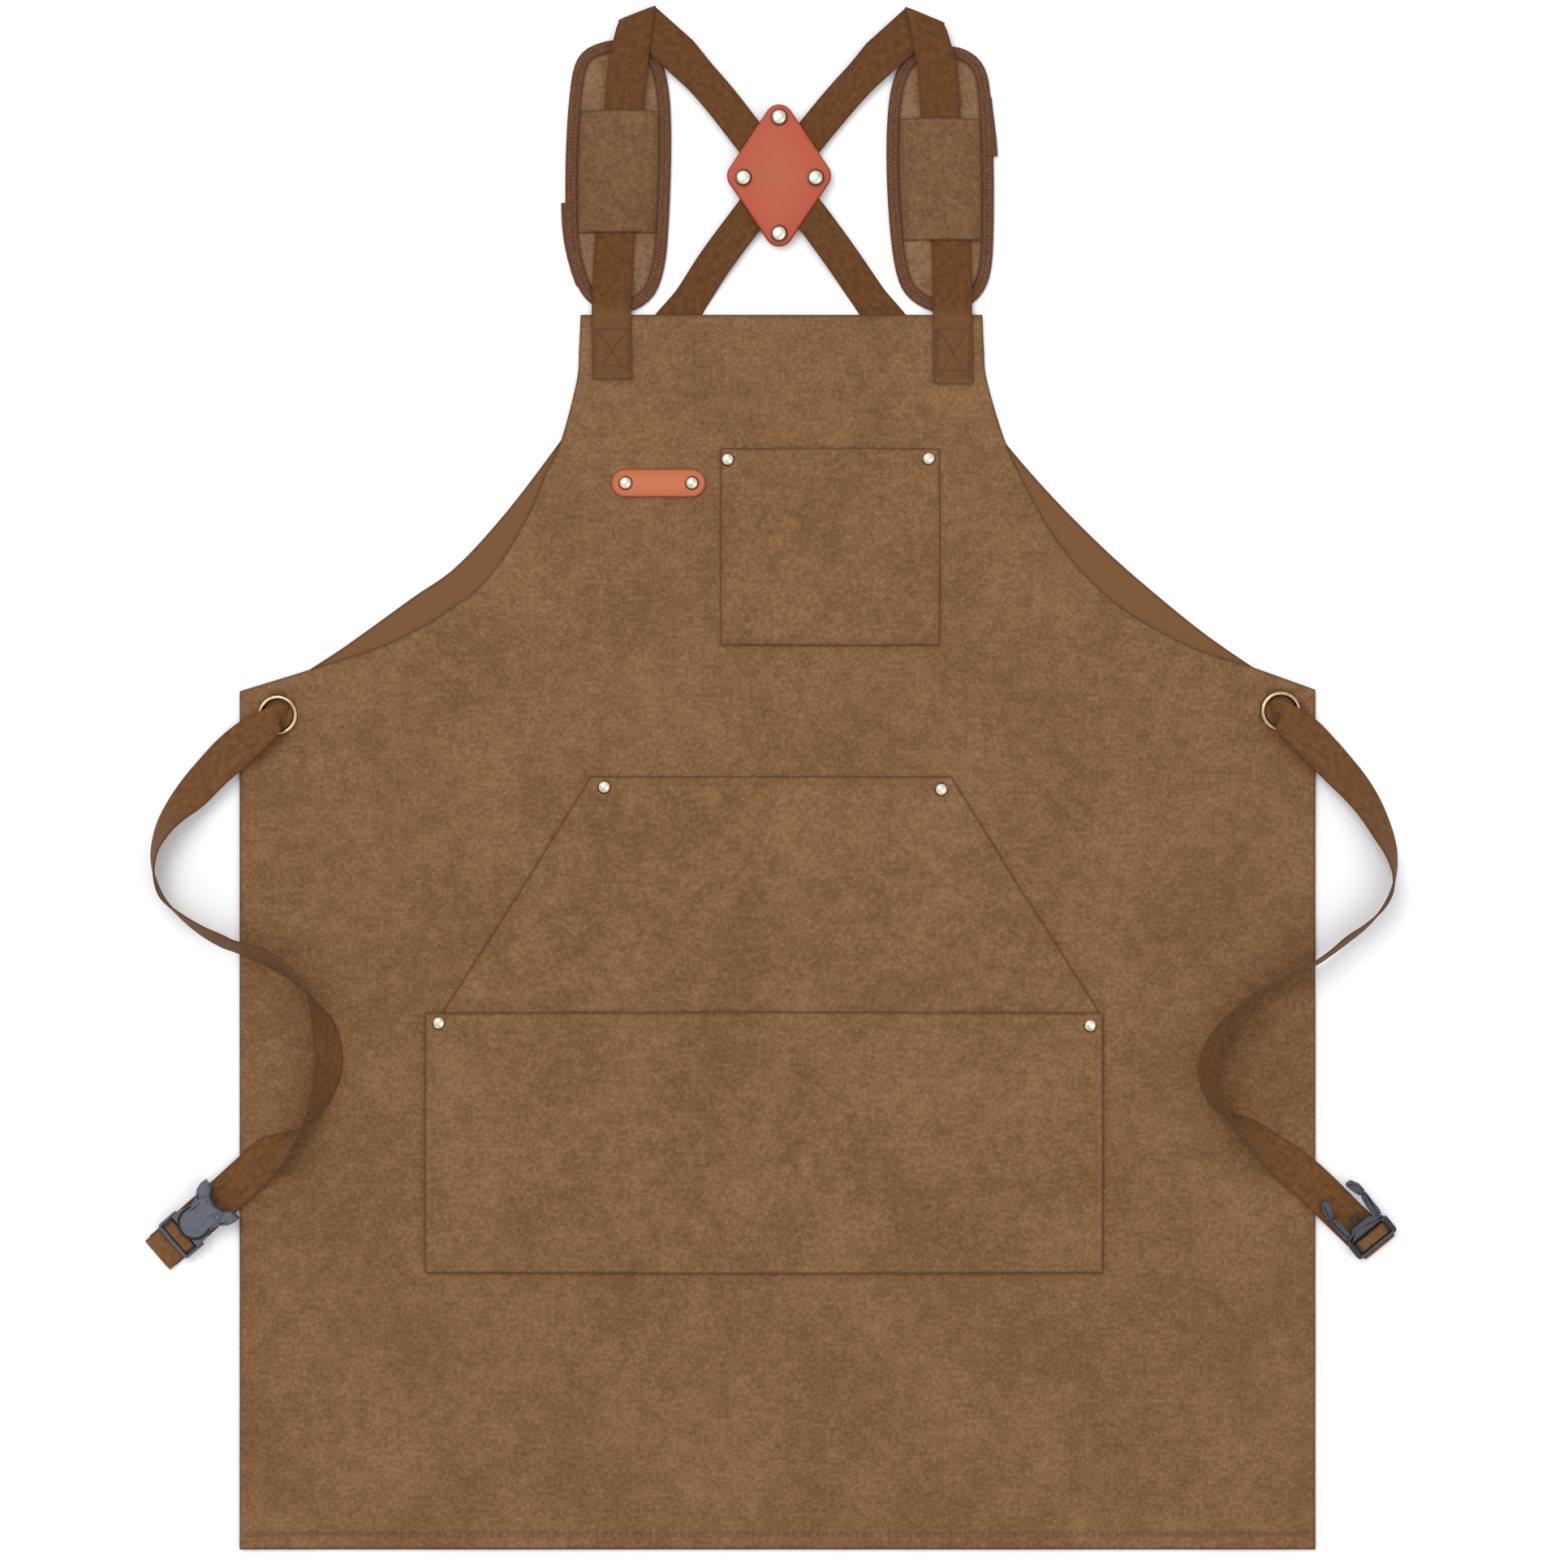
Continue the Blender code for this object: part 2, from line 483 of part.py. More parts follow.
def buckleFrame(crease, toward):
    """Place of a buckle: u runs from the crease to its free end, v across, w up off the strap."""
    a, b = Vector((*crease[0], 0)), Vector((*crease[1], 0))
    across = (b - a).normalized()
    along = Vector((-across.y, across.x, 0))
    if along.dot(Vector((*toward, 0))) < 0:
        along, across = -along, -across
    middle = (a + b) / 2
    axes = Matrix((along, -across, Vector((0, 0, 1)))).transposed()
    tilt = Matrix.Rotation(-buckleTilt, 3, "Y")
    foldAxis = middle + Vector((0, 0, webbingThick + 0.15))
    return Matrix.Translation(middle + Vector((0, 0, webbingThick))) @ (axes @ tilt).to_4x4(), foldAxis


def tab(name, place, middle, slotStart):
    """The end of the webbing, folded back at the crease and threaded over the inner bar."""
    low = 0.3 + webbingThick / 2
    rise = slotStart + 1.05
    fall = rise + barWidth + 2.1
    high = frameHigh + gap + webbingThick / 2
    bend = 1.05
    path = [(0.6, low), (rise * 0.5, low), (rise - bend, low)]
    path += [(rise - bend + bend * math.sin(t), low + bend - bend * math.cos(t)) for t in (0.52, 1.05, 1.57)]
    path += [(rise + bend - bend * math.cos(t), high - bend + bend * math.sin(t)) for t in (0, 0.52, 1.05, 1.57)]
    path += [(fall - bend + bend * math.sin(t), high - bend + bend * math.cos(t)) for t in (0, 0.52, 1.05, 1.57)]
    path += [(fall, low + 1.6)]
    half = webbingWidth / 2 - 0.9
    pairs = [(Vector((u, half, w)), Vector((u, -half, w))) for u, w in path]
    return ribbon(name, "webbing", pairs, webbingThick, place, middle)


def joined(name, finish, place, middle, bodies, cuts):
    """Prisms united into one moulding, less its slots and hollows."""
    made = plate(name, finish, *bodies[0], matrix=place, origin=middle)
    for i, body in enumerate(bodies[1:] + cuts):
        tool = plate("%s_tool_%d" % (name, i), finish, *body, matrix=place, origin=middle)
        tool.hide_render = True
        tool.display_type = "WIRE"
        step = made.modifiers.new("shape_%d" % i, "BOOLEAN")
        step.object = tool
        step.solver = "EXACT"
        step.operation = "UNION" if i < len(bodies) - 1 else "DIFFERENCE"
    return made


def webbingSlots(start):
    """The two slots that the webbing threads through, with the bar between them."""
    half = webbingWidth / 2 - 0.3
    slots = []
    for near in (start + slotIn, start + slotIn + slotWide + barWidth):
        far = near + slotWide
        slots.append([(near, -half), (far, -half), (far, half), (near, half)])
    return slots


def femaleBuckle(place, middle):
    """The socket half, with the frame that the webbing is threaded through."""
    start, low, high = femaleStart, frameLow, frameHigh
    end = start + 43
    frame = rounded([(start, -14), (start + 15, -14), (start + 15, 14), (start, 14)], [2.5, 1, 1, 2.5], 3)
    horns = [(start + 12, -12.5), (start + 17, -12.2), (start + 22, -10.6), (start + 27, -10),
             (start + 31, -11.4), (start + 36, -15.2), (start + 40, -16.4), (end, -16.4), (end - 0.4, -9.6),
             (end - 4.5, -6.5), (end - 6, 0), (end - 4.5, 6.5), (end - 0.4, 9.6), (end, 16.4),
             (start + 40, 16.4), (start + 36, 15.2), (start + 31, 11.4), (start + 27, 10), (start + 22, 10.6),
             (start + 17, 12.2), (start + 12, 12.5)]
    slots = webbingSlots(start)
    mouth = [(start + 21, -7.5), (end + 2, -8.8), (end + 2, 8.8), (start + 21, 7.5)]
    cuts = [(slot, low - 2, high + 2) for slot in slots]
    cuts.append((mouth, socketLow + 1, socketHigh - 1))
    joined("female_buckle", "plastic", place, middle,
           [(frame, low, high), (horns, socketLow, socketHigh)], cuts)


def maleBuckle(place, middle):
    """The plug half: its base with the webbing slots, and the tongue between the arms."""
    start, low, high = maleStart, frameLow, frameHigh
    base = rounded([(start, -15.5), (start + 11.5, -15.5), (start + 15.5, -8), (start + 15.5, 8),
                    (start + 11.5, 15.5), (start, 15.5)], [2.5, 1.2, 1, 1, 1.2, 2.5], 3)
    slots = webbingSlots(start)
    prongs = [[(start + 14, side * 3 - 0.8), (start + 24, side * 2.2 - 0.8), (start + 24, side * 2.2 + 0.8),
               (start + 14, side * 3 + 0.8)] for side in (-1, 1)]
    joined("male_buckle", "plastic", place, middle,
           [(base, low, high)] + [(prong, low + 0.4, high - 0.4) for prong in prongs],
           [(slot, low - 2, high + 2) for slot in slots])
    for side, word in ((1, "left"), (-1, "right")):
        root = Vector((start + 14.2, side * 12.6, (low + high) / 2))
        arm = [(start + 14, 12.6), (start + 18, 10.2), (start + 24, 10.4), (start + 31, 11.4),
               (start + 35, 10.0), (start + 43, 7.6), (start + 44, 9), (start + 43, 12.4), (start + 38, 14.2),
               (start + 31, 14.3), (start + 24, 13.6), (start + 18, 13.8)]
        outline = [(u, side * v) for u, v in arm]
        pivot = place @ root
        plate(word + "_latch_arm", "plastic", outline, low + 0.2, high - 0.2, matrix=place,
              origin=tuple(pivot))


def main():
    for item in list(bpy.data.objects):
        bpy.data.objects.remove(item)
    apronPanel()
    pockets()
    grommet("left", leftGrommet)
    grommet("right", rightGrommet)
    shoulderStrap("left_shoulder_strap", leftRise, leftFall, leftFold, crossHighMid)
    shoulderStrap("right_shoulder_strap", rightRise, rightFall, rightFold, crossLowMid)
    leatherCross()
    shoulderPad("left", padLeft, sleeveLeftSpan)
    shoulderPad("right", padRight, sleeveRightSpan)
    tie("left_tie", leftTie, leftGrommet)
    tie("right_tie", rightTie, rightGrommet)
    place, middle = buckleFrame(leftCrease, (1, 1))
    tab("left_webbing_tab", place, middle, femaleStart + slotIn)
    femaleBuckle(place, middle)
    place, middle = buckleFrame(rightCrease, (-1, 1))
    tab("right_webbing_tab", place, middle, maleStart + slotIn)
    maleBuckle(place, middle)


main()
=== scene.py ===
# Looks of a cross-back canvas work apron, laid flat and seen from straight above.

import math

import bpy
import numpy as np
from mathutils import Matrix, Vector, noise
from mathutils.geometry import delaunay_2d_cdt


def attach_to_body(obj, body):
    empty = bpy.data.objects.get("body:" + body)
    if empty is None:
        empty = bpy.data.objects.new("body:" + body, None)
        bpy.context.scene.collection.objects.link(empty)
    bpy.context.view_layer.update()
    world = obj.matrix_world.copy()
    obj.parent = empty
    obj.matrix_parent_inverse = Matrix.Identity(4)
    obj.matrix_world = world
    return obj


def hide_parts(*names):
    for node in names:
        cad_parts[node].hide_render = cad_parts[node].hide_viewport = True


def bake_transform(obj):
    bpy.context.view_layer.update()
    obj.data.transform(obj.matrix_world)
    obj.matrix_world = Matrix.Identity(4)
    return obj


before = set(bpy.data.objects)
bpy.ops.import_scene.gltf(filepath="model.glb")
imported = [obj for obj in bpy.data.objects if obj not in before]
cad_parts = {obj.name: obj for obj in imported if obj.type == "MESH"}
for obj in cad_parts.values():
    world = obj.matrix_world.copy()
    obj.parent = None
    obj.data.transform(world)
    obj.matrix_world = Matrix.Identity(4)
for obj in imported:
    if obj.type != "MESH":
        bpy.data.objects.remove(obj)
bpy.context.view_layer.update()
mm = 0.001


# Camera, light and floor.

def intoScene(obj):
    bpy.context.scene.collection.objects.link(obj)
    return obj


def placeCamera():
    camera = intoScene(bpy.data.objects.new("camera", bpy.data.cameras.new("camera")))
    camera.data.lens = 85
    camera.data.clip_end = 20
    camera.location = (0.0041, -0.0036, 2.343)
    bpy.context.scene.camera = camera


def areaLight(name, place, size, power, target=(0, 0, 0)):
    light = intoScene(bpy.data.objects.new(name, bpy.data.lights.new(name, "AREA")))
    light.data.shape = "RECTANGLE"
    light.data.size, light.data.size_y = size
    light.data.energy = power
    light.location = place
    light.rotation_euler = (Vector(target) - Vector(place)).to_track_quat("-Z", "Y").to_euler()


def lightStudio():
    areaLight("key_light", (-0.9, 1.2, 2.8), (1.7, 1.7), 38)
    areaLight("fill_light", (1.4, -0.7, 2.6), (2.2, 2.2), 13)
    world = bpy.data.worlds.new("studio")
    world.use_nodes = True
    world.node_tree.nodes["Background"].inputs["Color"].default_value = (0.95, 0.97, 1.0, 1)
    world.node_tree.nodes["Background"].inputs["Strength"].default_value = 0.84
    bpy.context.scene.view_settings.view_transform = "Standard"
    bpy.context.scene.world = world


# Node helpers.

def addNode(tree, kind, links=None, **settings):
    made = tree.nodes.new(kind)
    for key, value in settings.items():
        setattr(made, key, value)
    for key, value in (links or {}).items():
        if isinstance(value, bpy.types.NodeSocket):
            tree.links.new(value, made.inputs[key])
        else:
            made.inputs[key].default_value = value
    return made


def mathNode(tree, operation, a, b=0.0):
    return addNode(tree, "ShaderNodeMath", {0: a, 1: b}, operation=operation).outputs[0]


def plus(tree, a, b):
    return mathNode(tree, "ADD", a, b)


def times(tree, a, b):
    return mathNode(tree, "MULTIPLY", a, b)


def mixColor(tree, factor, a, b):
    return addNode(tree, "ShaderNodeMix", {0: factor, 6: a, 7: b}, data_type="RGBA").outputs[2]


def spread(tree, value, low, high, toLow=0.0, toHigh=1.0):
    return addNode(tree, "ShaderNodeMapRange", {0: value, 1: low, 2: high, 3: toLow, 4: toHigh}).outputs[0]


def noiseAt(tree, vector, scale, detail=3.0, rough=0.55):
    return addNode(tree, "ShaderNodeTexNoise",
                   {"Vector": vector, "Scale": scale, "Detail": detail, "Roughness": rough}).outputs[0]


def stretched(tree, vector, scale, turn=0.0):
    return addNode(tree, "ShaderNodeMapping",
                   {"Vector": vector, "Scale": scale, "Rotation": (0, 0, turn)}).outputs[0]


def objectPlace(tree):
    return addNode(tree, "ShaderNodeTexCoord").outputs["Object"]


def marked(tree, name):
    return addNode(tree, "ShaderNodeAttribute", attribute_name=name).outputs["Fac"]


def newGroup(name, given, results):
    # A node group that turns one vector into several values.
    group = bpy.data.node_groups.new(name, "ShaderNodeTree")
    group.interface.new_socket(given, in_out="INPUT", socket_type="NodeSocketVector")
    for label in results:
        group.interface.new_socket(label, in_out="OUTPUT", socket_type="NodeSocketFloat")
    return group, group.nodes.new("NodeGroupInput").outputs[0], group.nodes.new("NodeGroupOutput").inputs


def clothGroup():
    # Washed canvas: broad fading, small flecks, horizontal slubs and the height of its threads.
    group, place, result = newGroup("washed_cloth", "Place", ("Fade", "Fleck", "Slub", "Thread"))
    link = group.links.new
    broad = noiseAt(group, place, 13, 3, 0.55)
    patch = noiseAt(group, place, 105, 3, 0.55)
    fade = plus(group, times(group, broad, 0.5), times(group, patch, 0.5))
    link(spread(group, fade, 0.32, 0.68), result["Fade"])
    link(spread(group, noiseAt(group, place, 390, 2.5, 0.7), 0.3, 0.7), result["Fleck"])
    drift = addNode(group, "ShaderNodeTexNoise", {"Vector": place, "Scale": 30.0}).outputs[1]
    drift = addNode(group, "ShaderNodeVectorMath", {0: drift, 1: (0.0, 0.012, 0.0)},
                    operation="MULTIPLY").outputs[0]
    wander = addNode(group, "ShaderNodeVectorMath", {0: place, 1: drift}, operation="ADD").outputs[0]
    slub = noiseAt(group, stretched(group, wander, (60, 420, 60), 0.12), 1.0, 2.5, 0.6)
    link(spread(group, slub, 0.32, 0.68), result["Slub"])
    threads = []
    for axis, scale, distortion, detail in (("Y", 330.0, 2.2, 1.6), ("X", 360.0, 2.0, 1.4)):
        threads.append(addNode(group, "ShaderNodeTexWave",
                               {"Vector": place, "Scale": scale, "Distortion": distortion, "Detail": 1.0,
                                "Detail Scale": detail}, bands_direction=axis).outputs[1])
    link(plus(group, times(group, threads[0], 0.6), times(group, threads[1], 0.4)), result["Thread"])
    return group


def ribGroup():
    # Webbing: cross ribs along its length, a firm edge and worn flecks, read from the strap's own map.
    group, strap, result = newGroup("webbing_ribs", "Along", ("Rib", "Edge", "Wear"))
    parts = addNode(group, "ShaderNodeSeparateXYZ", {0: strap}).outputs
    link = group.links.new
    shake = times(group, noiseAt(group, strap, 160, 2), 0.0011)
    along = plus(group, parts[0], shake)
    rib = mathNode(group, "SINE", times(group, along, math.tau / 0.0014))
    yarn = mathNode(group, "SINE", times(group, parts[1], math.tau / 0.0013))
    link(spread(group, plus(group, rib, times(group, yarn, 0.45)), -1.4, 1.4), result["Rib"])
    rim = mathNode(group, "ABSOLUTE", parts[1])
    link(spread(group, rim, 0.0102, 0.0124), result["Edge"])
    worn = noiseAt(group, stretched(group, strap, (210, 260, 1)), 1.0, 4)
    link(spread(group, worn, 0.32, 0.7), result["Wear"])
    return group


def grainGroup():
    # Leather: fine pebble grain, soft clouding of the dye and small creases.
    group, place, result = newGroup("leather_grain", "Place", ("Grain", "Cloud"))
    cells = addNode(group, "ShaderNodeTexVoronoi", {"Vector": place, "Scale": 1500.0},
                    feature="SMOOTH_F1").outputs[0]
    fine = noiseAt(group, place, 900, 4, 0.7)
    group.links.new(plus(group, times(group, cells, 0.6), fine), result["Grain"])
    group.links.new(spread(group, noiseAt(group, place, 70, 5, 0.6), 0.3, 0.7), result["Cloud"])
    return group


def startMaterial(name):
    made = bpy.data.materials.new(name)
    made.use_nodes = True
    tree = made.node_tree
    return made, tree, tree.nodes["Principled BSDF"]


def useBump(tree, shader, height, distance, strength=1.0):
    bump = addNode(tree, "ShaderNodeBump", {"Height": height, "Distance": distance, "Strength": strength})
    tree.links.new(bump.outputs[0], shader.inputs["Normal"])


def clothMaterial(name, dark, middle, light, painted_edge_shade):
    # Canvas in three tones, with painted shade along the turned edges and seam lines that the mesh marks.
    made, tree, shader = startMaterial(name)
    place = objectPlace(tree)
    cloth = addNode(tree, "ShaderNodeGroup", node_tree=groups["cloth"])
    tree.links.new(place, cloth.inputs[0])
    fade, fleck, slub, thread = (cloth.outputs[i] for i in range(4))
    tone = plus(tree, times(tree, fade, 0.4), plus(tree, times(tree, fleck, 0.5), times(tree, slub, 0.1)))
    ramp = addNode(tree, "ShaderNodeValToRGB", {0: tone})
    ramp.color_ramp.elements[0].position, ramp.color_ramp.elements[1].position = 0.24, 0.78
    ramp.color_ramp.elements[0].color = (*dark, 1)
    ramp.color_ramp.elements[1].color = (*light, 1)
    ramp.color_ramp.elements.new(0.5).color = (*middle, 1)
    # painted shade: the colour darkens to the fourth tone where the mesh marks an edge
    edge = marked(tree, "painted_edge_shade")
    color = mixColor(tree, edge, ramp.outputs[0], (*painted_edge_shade, 1))
    tree.links.new(color, shader.inputs["Base Color"])
    tree.links.new(spread(tree, fleck, 0, 1, 0.82, 0.96), shader.inputs["Roughness"])
    shader.inputs["Sheen Weight"].default_value = 0.05
    shader.inputs["Specular IOR Level"].default_value = 0.1
    flecked = plus(tree, times(tree, fleck, 0.7), times(tree, slub, 0.25))
    useBump(tree, shader, plus(tree, times(tree, thread, 0.6), flecked), 0.0002)
    return made


def webbingMaterial(name, dark, light, rim, paler_tone=None):
    made, tree, shader = startMaterial(name)
    along = addNode(tree, "ShaderNodeUVMap", uv_map="strap").outputs[0]
    web = addNode(tree, "ShaderNodeGroup", node_tree=groups["rib"])
    tree.links.new(along, web.inputs[0])
    rib, edge, wear = (web.outputs[i] for i in range(3))
    weave = plus(tree, times(tree, rib, 0.45), wear)
    base = mixColor(tree, spread(tree, weave, 0.15, 1.3), (*dark, 1), (*light, 1))
    if paler_tone:  # paler past the bib and at the stitched end
        run = addNode(tree, "ShaderNodeSeparateXYZ", {0: along}).outputs[0]
        pale = plus(tree, spread(tree, run, 0.56, 0.6), times(tree, spread(tree, run, 0.05, 0.04), 0.5))
        base = mixColor(tree, pale, base, (*paler_tone, 1))
    base = mixColor(tree, times(tree, edge, 0.6), base, (*rim, 1))
    # painted shade: near-black where the fold's mesh marks the webbing turning down into the buckle's slot
    crease = marked(tree, "crease")
    tree.links.new(mixColor(tree, crease, base, (0.011, 0.007, 0.005, 1)), shader.inputs["Base Color"])
    tree.links.new(spread(tree, wear, 0, 1, 0.72, 0.9), shader.inputs["Roughness"])
    shader.inputs["Sheen Weight"].default_value = 0.04
    shader.inputs["Specular IOR Level"].default_value = 0.12
    useBump(tree, shader, rib, 0.0003)
    return made


def leatherMaterial(name, rich, pale, edgeTone):
    made, tree, shader = startMaterial(name)
    place = objectPlace(tree)
    grain = addNode(tree, "ShaderNodeGroup", node_tree=groups["grain"])
    tree.links.new(place, grain.inputs[0])
    # painted shade: the edge tone darkens the leather where the mesh marks its cut edge
    edge = marked(tree, "painted_edge_shade")
    middle = marked(tree, "middle")
    glow = plus(tree, times(tree, middle, 0.75), times(tree, grain.outputs[1], 0.3))
    base = mixColor(tree, glow, (*rich, 1), (*pale, 1))
    tree.links.new(mixColor(tree, edge, base, (*edgeTone, 1)), shader.inputs["Base Color"])
    tree.links.new(spread(tree, grain.outputs[1], 0, 1, 0.46, 0.62), shader.inputs["Roughness"])
    shader.inputs["Specular IOR Level"].default_value = 0.35
    useBump(tree, shader, grain.outputs[0], 0.00009)
    return made


def brassMaterial(name, bright, tarnish_and_shade):
    made, tree, shader = startMaterial(name)
    place = objectPlace(tree)
    stain = spread(tree, noiseAt(tree, place, 420, 4, 0.6), 0.42, 0.72)
    # real tarnish from the stain noise, with painted shade on the rings the lathe marks dark
    crease = marked(tree, "painted_edge_shade")
    factor = mathNode(tree, "MAXIMUM", times(tree, stain, 0.5), crease)
    tree.links.new(mixColor(tree, factor, (*bright, 1), (*tarnish_and_shade, 1)), shader.inputs["Base Color"])
    shader.inputs["Metallic"].default_value = 1.0
    tree.links.new(spread(tree, stain, 0, 1, 0.16, 0.34), shader.inputs["Roughness"])
    scratch = noiseAt(tree, stretched(tree, place, (500, 2500, 500), 0.6), 1.0, 2)
    useBump(tree, shader, scratch, 0.000008)
    return made


def plasticMaterial(name, tone, rub):
    made, tree, shader = startMaterial(name)
    place = objectPlace(tree)
    worn = addNode(tree, "ShaderNodeNewGeometry").outputs["Pointiness"]
    edges = spread(tree, worn, 0.52, 0.6)
    cloud = noiseAt(tree, place, 260, 3)
    tree.links.new(mixColor(tree, times(tree, edges, 0.5), (*tone, 1), (*rub, 1)),
                   shader.inputs["Base Color"])
    tree.links.new(spread(tree, cloud, 0.3, 0.7, 0.34, 0.5), shader.inputs["Roughness"])
    shader.inputs["Specular IOR Level"].default_value = 0.28
    useBump(tree, shader, noiseAt(tree, place, 3800, 2), 0.00004)
    return made


def threadMaterial(name, tone, light):
    made, tree, shader = startMaterial(name)
    place = objectPlace(tree)
    tree.links.new(mixColor(tree, noiseAt(tree, place, 700, 2), (*tone, 1), (*light, 1)),
                   shader.inputs["Base Color"])
    rough = spread(tree, noiseAt(tree, place, 2500, 2), 0.3, 0.7, 0.5, 0.75)
    tree.links.new(rough, shader.inputs["Roughness"])
    return made


def floorMaterial():
    made, tree, shader = startMaterial("pale_floor")
    place = objectPlace(tree)
    paper = mixColor(tree, noiseAt(tree, place, 6, 3), (0.955, 0.955, 0.965, 1), (0.975, 0.975, 0.98, 1))
    tree.links.new(paper, shader.inputs["Base Color"])
    shader.inputs["Roughness"].default_value = 0.9
    return made


# Shape helpers. Sizes below are in millimetres; meshes are made in metres.

def newPiece(name, points, faces, material, smooth=True, maps=None, marks=None):
    mesh = bpy.data.meshes.new(name)
    mesh.from_pydata([Vector(point) * mm for point in points], [], faces)
    mesh.update()
    mesh.materials.append(material)
    if smooth:
        mesh.shade_smooth()
        mesh.set_sharp_from_angle(angle=math.radians(48))
    if maps:
        layer = mesh.uv_layers.new(name="strap")
        for loop in mesh.loops:
            layer.data[loop.index].uv = maps[loop.vertex_index]
    for label, values in (marks or {}).items():
        attribute = mesh.attributes.new(label, "FLOAT", "POINT")
        attribute.data.foreach_set("value", values)
    return intoScene(bpy.data.objects.new(name, mesh))


def attach(obj, body, *nodes, slot):
    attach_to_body(obj, body)
    if nodes:
        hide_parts(*nodes)
    return obj


def smooth(points, steps):
    # Catmull-Rom curve through the points, with `steps` stretches between neighbours.
    rows = [Vector(point) for point in points]
    ends = [rows[0] * 2 - rows[1]] + rows + [rows[-1] * 2 - rows[-2]]
    made = []
    for a, b, c, d in zip(ends, ends[1:], ends[2:], ends[3:]):
        for step in range(steps):
            t = step / steps
            made.append(0.5 * (2 * b + (c - a) * t + (2 * a - 5 * b + 4 * c - d) * t ** 2
                               + (3 * b - a - 3 * c + d) * t ** 3))
    return made + [rows[-1]]


def eased(value, start, end, low=0.0, high=1.0):
    t = min(max((value - start) / (end - start), 0), 1)
    return low + (high - low) * t * t * (3 - 2 * t)


def circle(centre, radius, count=24):
    return [(centre[0] + radius * math.cos(math.tau * i / count),
             centre[1] + radius * math.sin(math.tau * i / count)) for i in range(count)]


def signedArea(loop):
    return sum(a[0] * b[1] - b[0] * a[1] for a, b in zip(loop, loop[1:] + loop[:1])) / 2


def rounded(corners, radius, count=5):
    # A polygon whose corners are arcs; radius is one number or one for each corner.
    made = []
    total = len(corners)
    for i in range(total):
        here = Vector(corners[i])
        before = (Vector(corners[i - 1]) - here).normalized()
        after = (Vector(corners[(i + 1) % total]) - here).normalized()
        size = radius[i] if isinstance(radius, (list, tuple)) else radius
        half = before.angle(after) / 2
        reach = size / math.tan(half)
        centre = here + (before + after).normalized() * size / math.sin(half)
        start = here + before * reach - centre
        sweep = start.angle_signed(here + after * reach - centre)
        for step in range(count + 1):
            turn = -sweep * step / count
            made.append((centre.x + start.x * math.cos(turn) - start.y * math.sin(turn),
                         centre.y + start.x * math.sin(turn) + start.y * math.cos(turn)))
    return made


def evenly(points, pitch, closed=False):
    # Points a pitch apart along a line of 2D or 3D points.
    rows = [Vector(point) for point in points] + ([Vector(points[0])] if closed else [])
    made = [rows[0].copy()]
    for a, b in zip(rows, rows[1:]):
        count = max(1, round((b - a).length / pitch))
        made += [a.lerp(b, (i + 1) / count) for i in range(count)]
    return made[:-1] if closed else made


def insetLoop(loop, distance):
    inward = 1 if signedArea([tuple(p) for p in loop]) > 0 else -1
    total = len(loop)
    made = []
    for i in range(total):
        here = Vector(loop[i][:2])
        before = (here - Vector(loop[i - 1][:2])).normalized()
        after = (Vector(loop[(i + 1) % total][:2]) - here).normalized()
        side = Vector((-(before + after).y, (before + after).x)).normalized() * inward
        stretch = max(0.45, abs(side.dot(Vector((-after.y, after.x)))))
        made.append(here + side * distance / stretch)
    return made


def distances(points, segments):
    # Distance from each point to the nearest of the segments.
    spots = np.array([tuple(p)[:2] for p in points], float)
    rows = np.array(segments, float)
    best = np.full(len(spots), 1e9)
    for start in range(0, len(rows), 64):
        ax, ay, dx, dy, size = rows[start:start + 64].T
        px, py = spots[:, 0:1] - ax, spots[:, 1:2] - ay
        t = np.clip((px * dx + py * dy) / size, 0, 1)
        best = np.minimum(best, np.sqrt((px - dx * t) ** 2 + (py - dy * t) ** 2).min(axis=1))
    return best


def segmentsOf(lines):
    made = []
    for line, closed in lines:
        rows = [tuple(p[:2]) for p in line]
        pairs = list(zip(rows, rows[1:] + rows[:1] if closed else rows[1:]))
        for (ax, ay), (bx, by) in pairs:
            size = (bx - ax) ** 2 + (by - ay) ** 2
            if size > 1e-9:
                made.append((ax, ay, bx - ax, by - ay, size))
    return made


def crossingsAt(loop, y):
    # Where a level line crosses the loop, from left to right.
    return sorted(a[0] + (b[0] - a[0]) * (y - a[1]) / (b[1] - a[1])
                  for a, b in zip(loop, loop[1:] + loop[:1]) if (a[1] - y) * (b[1] - y) < 0)


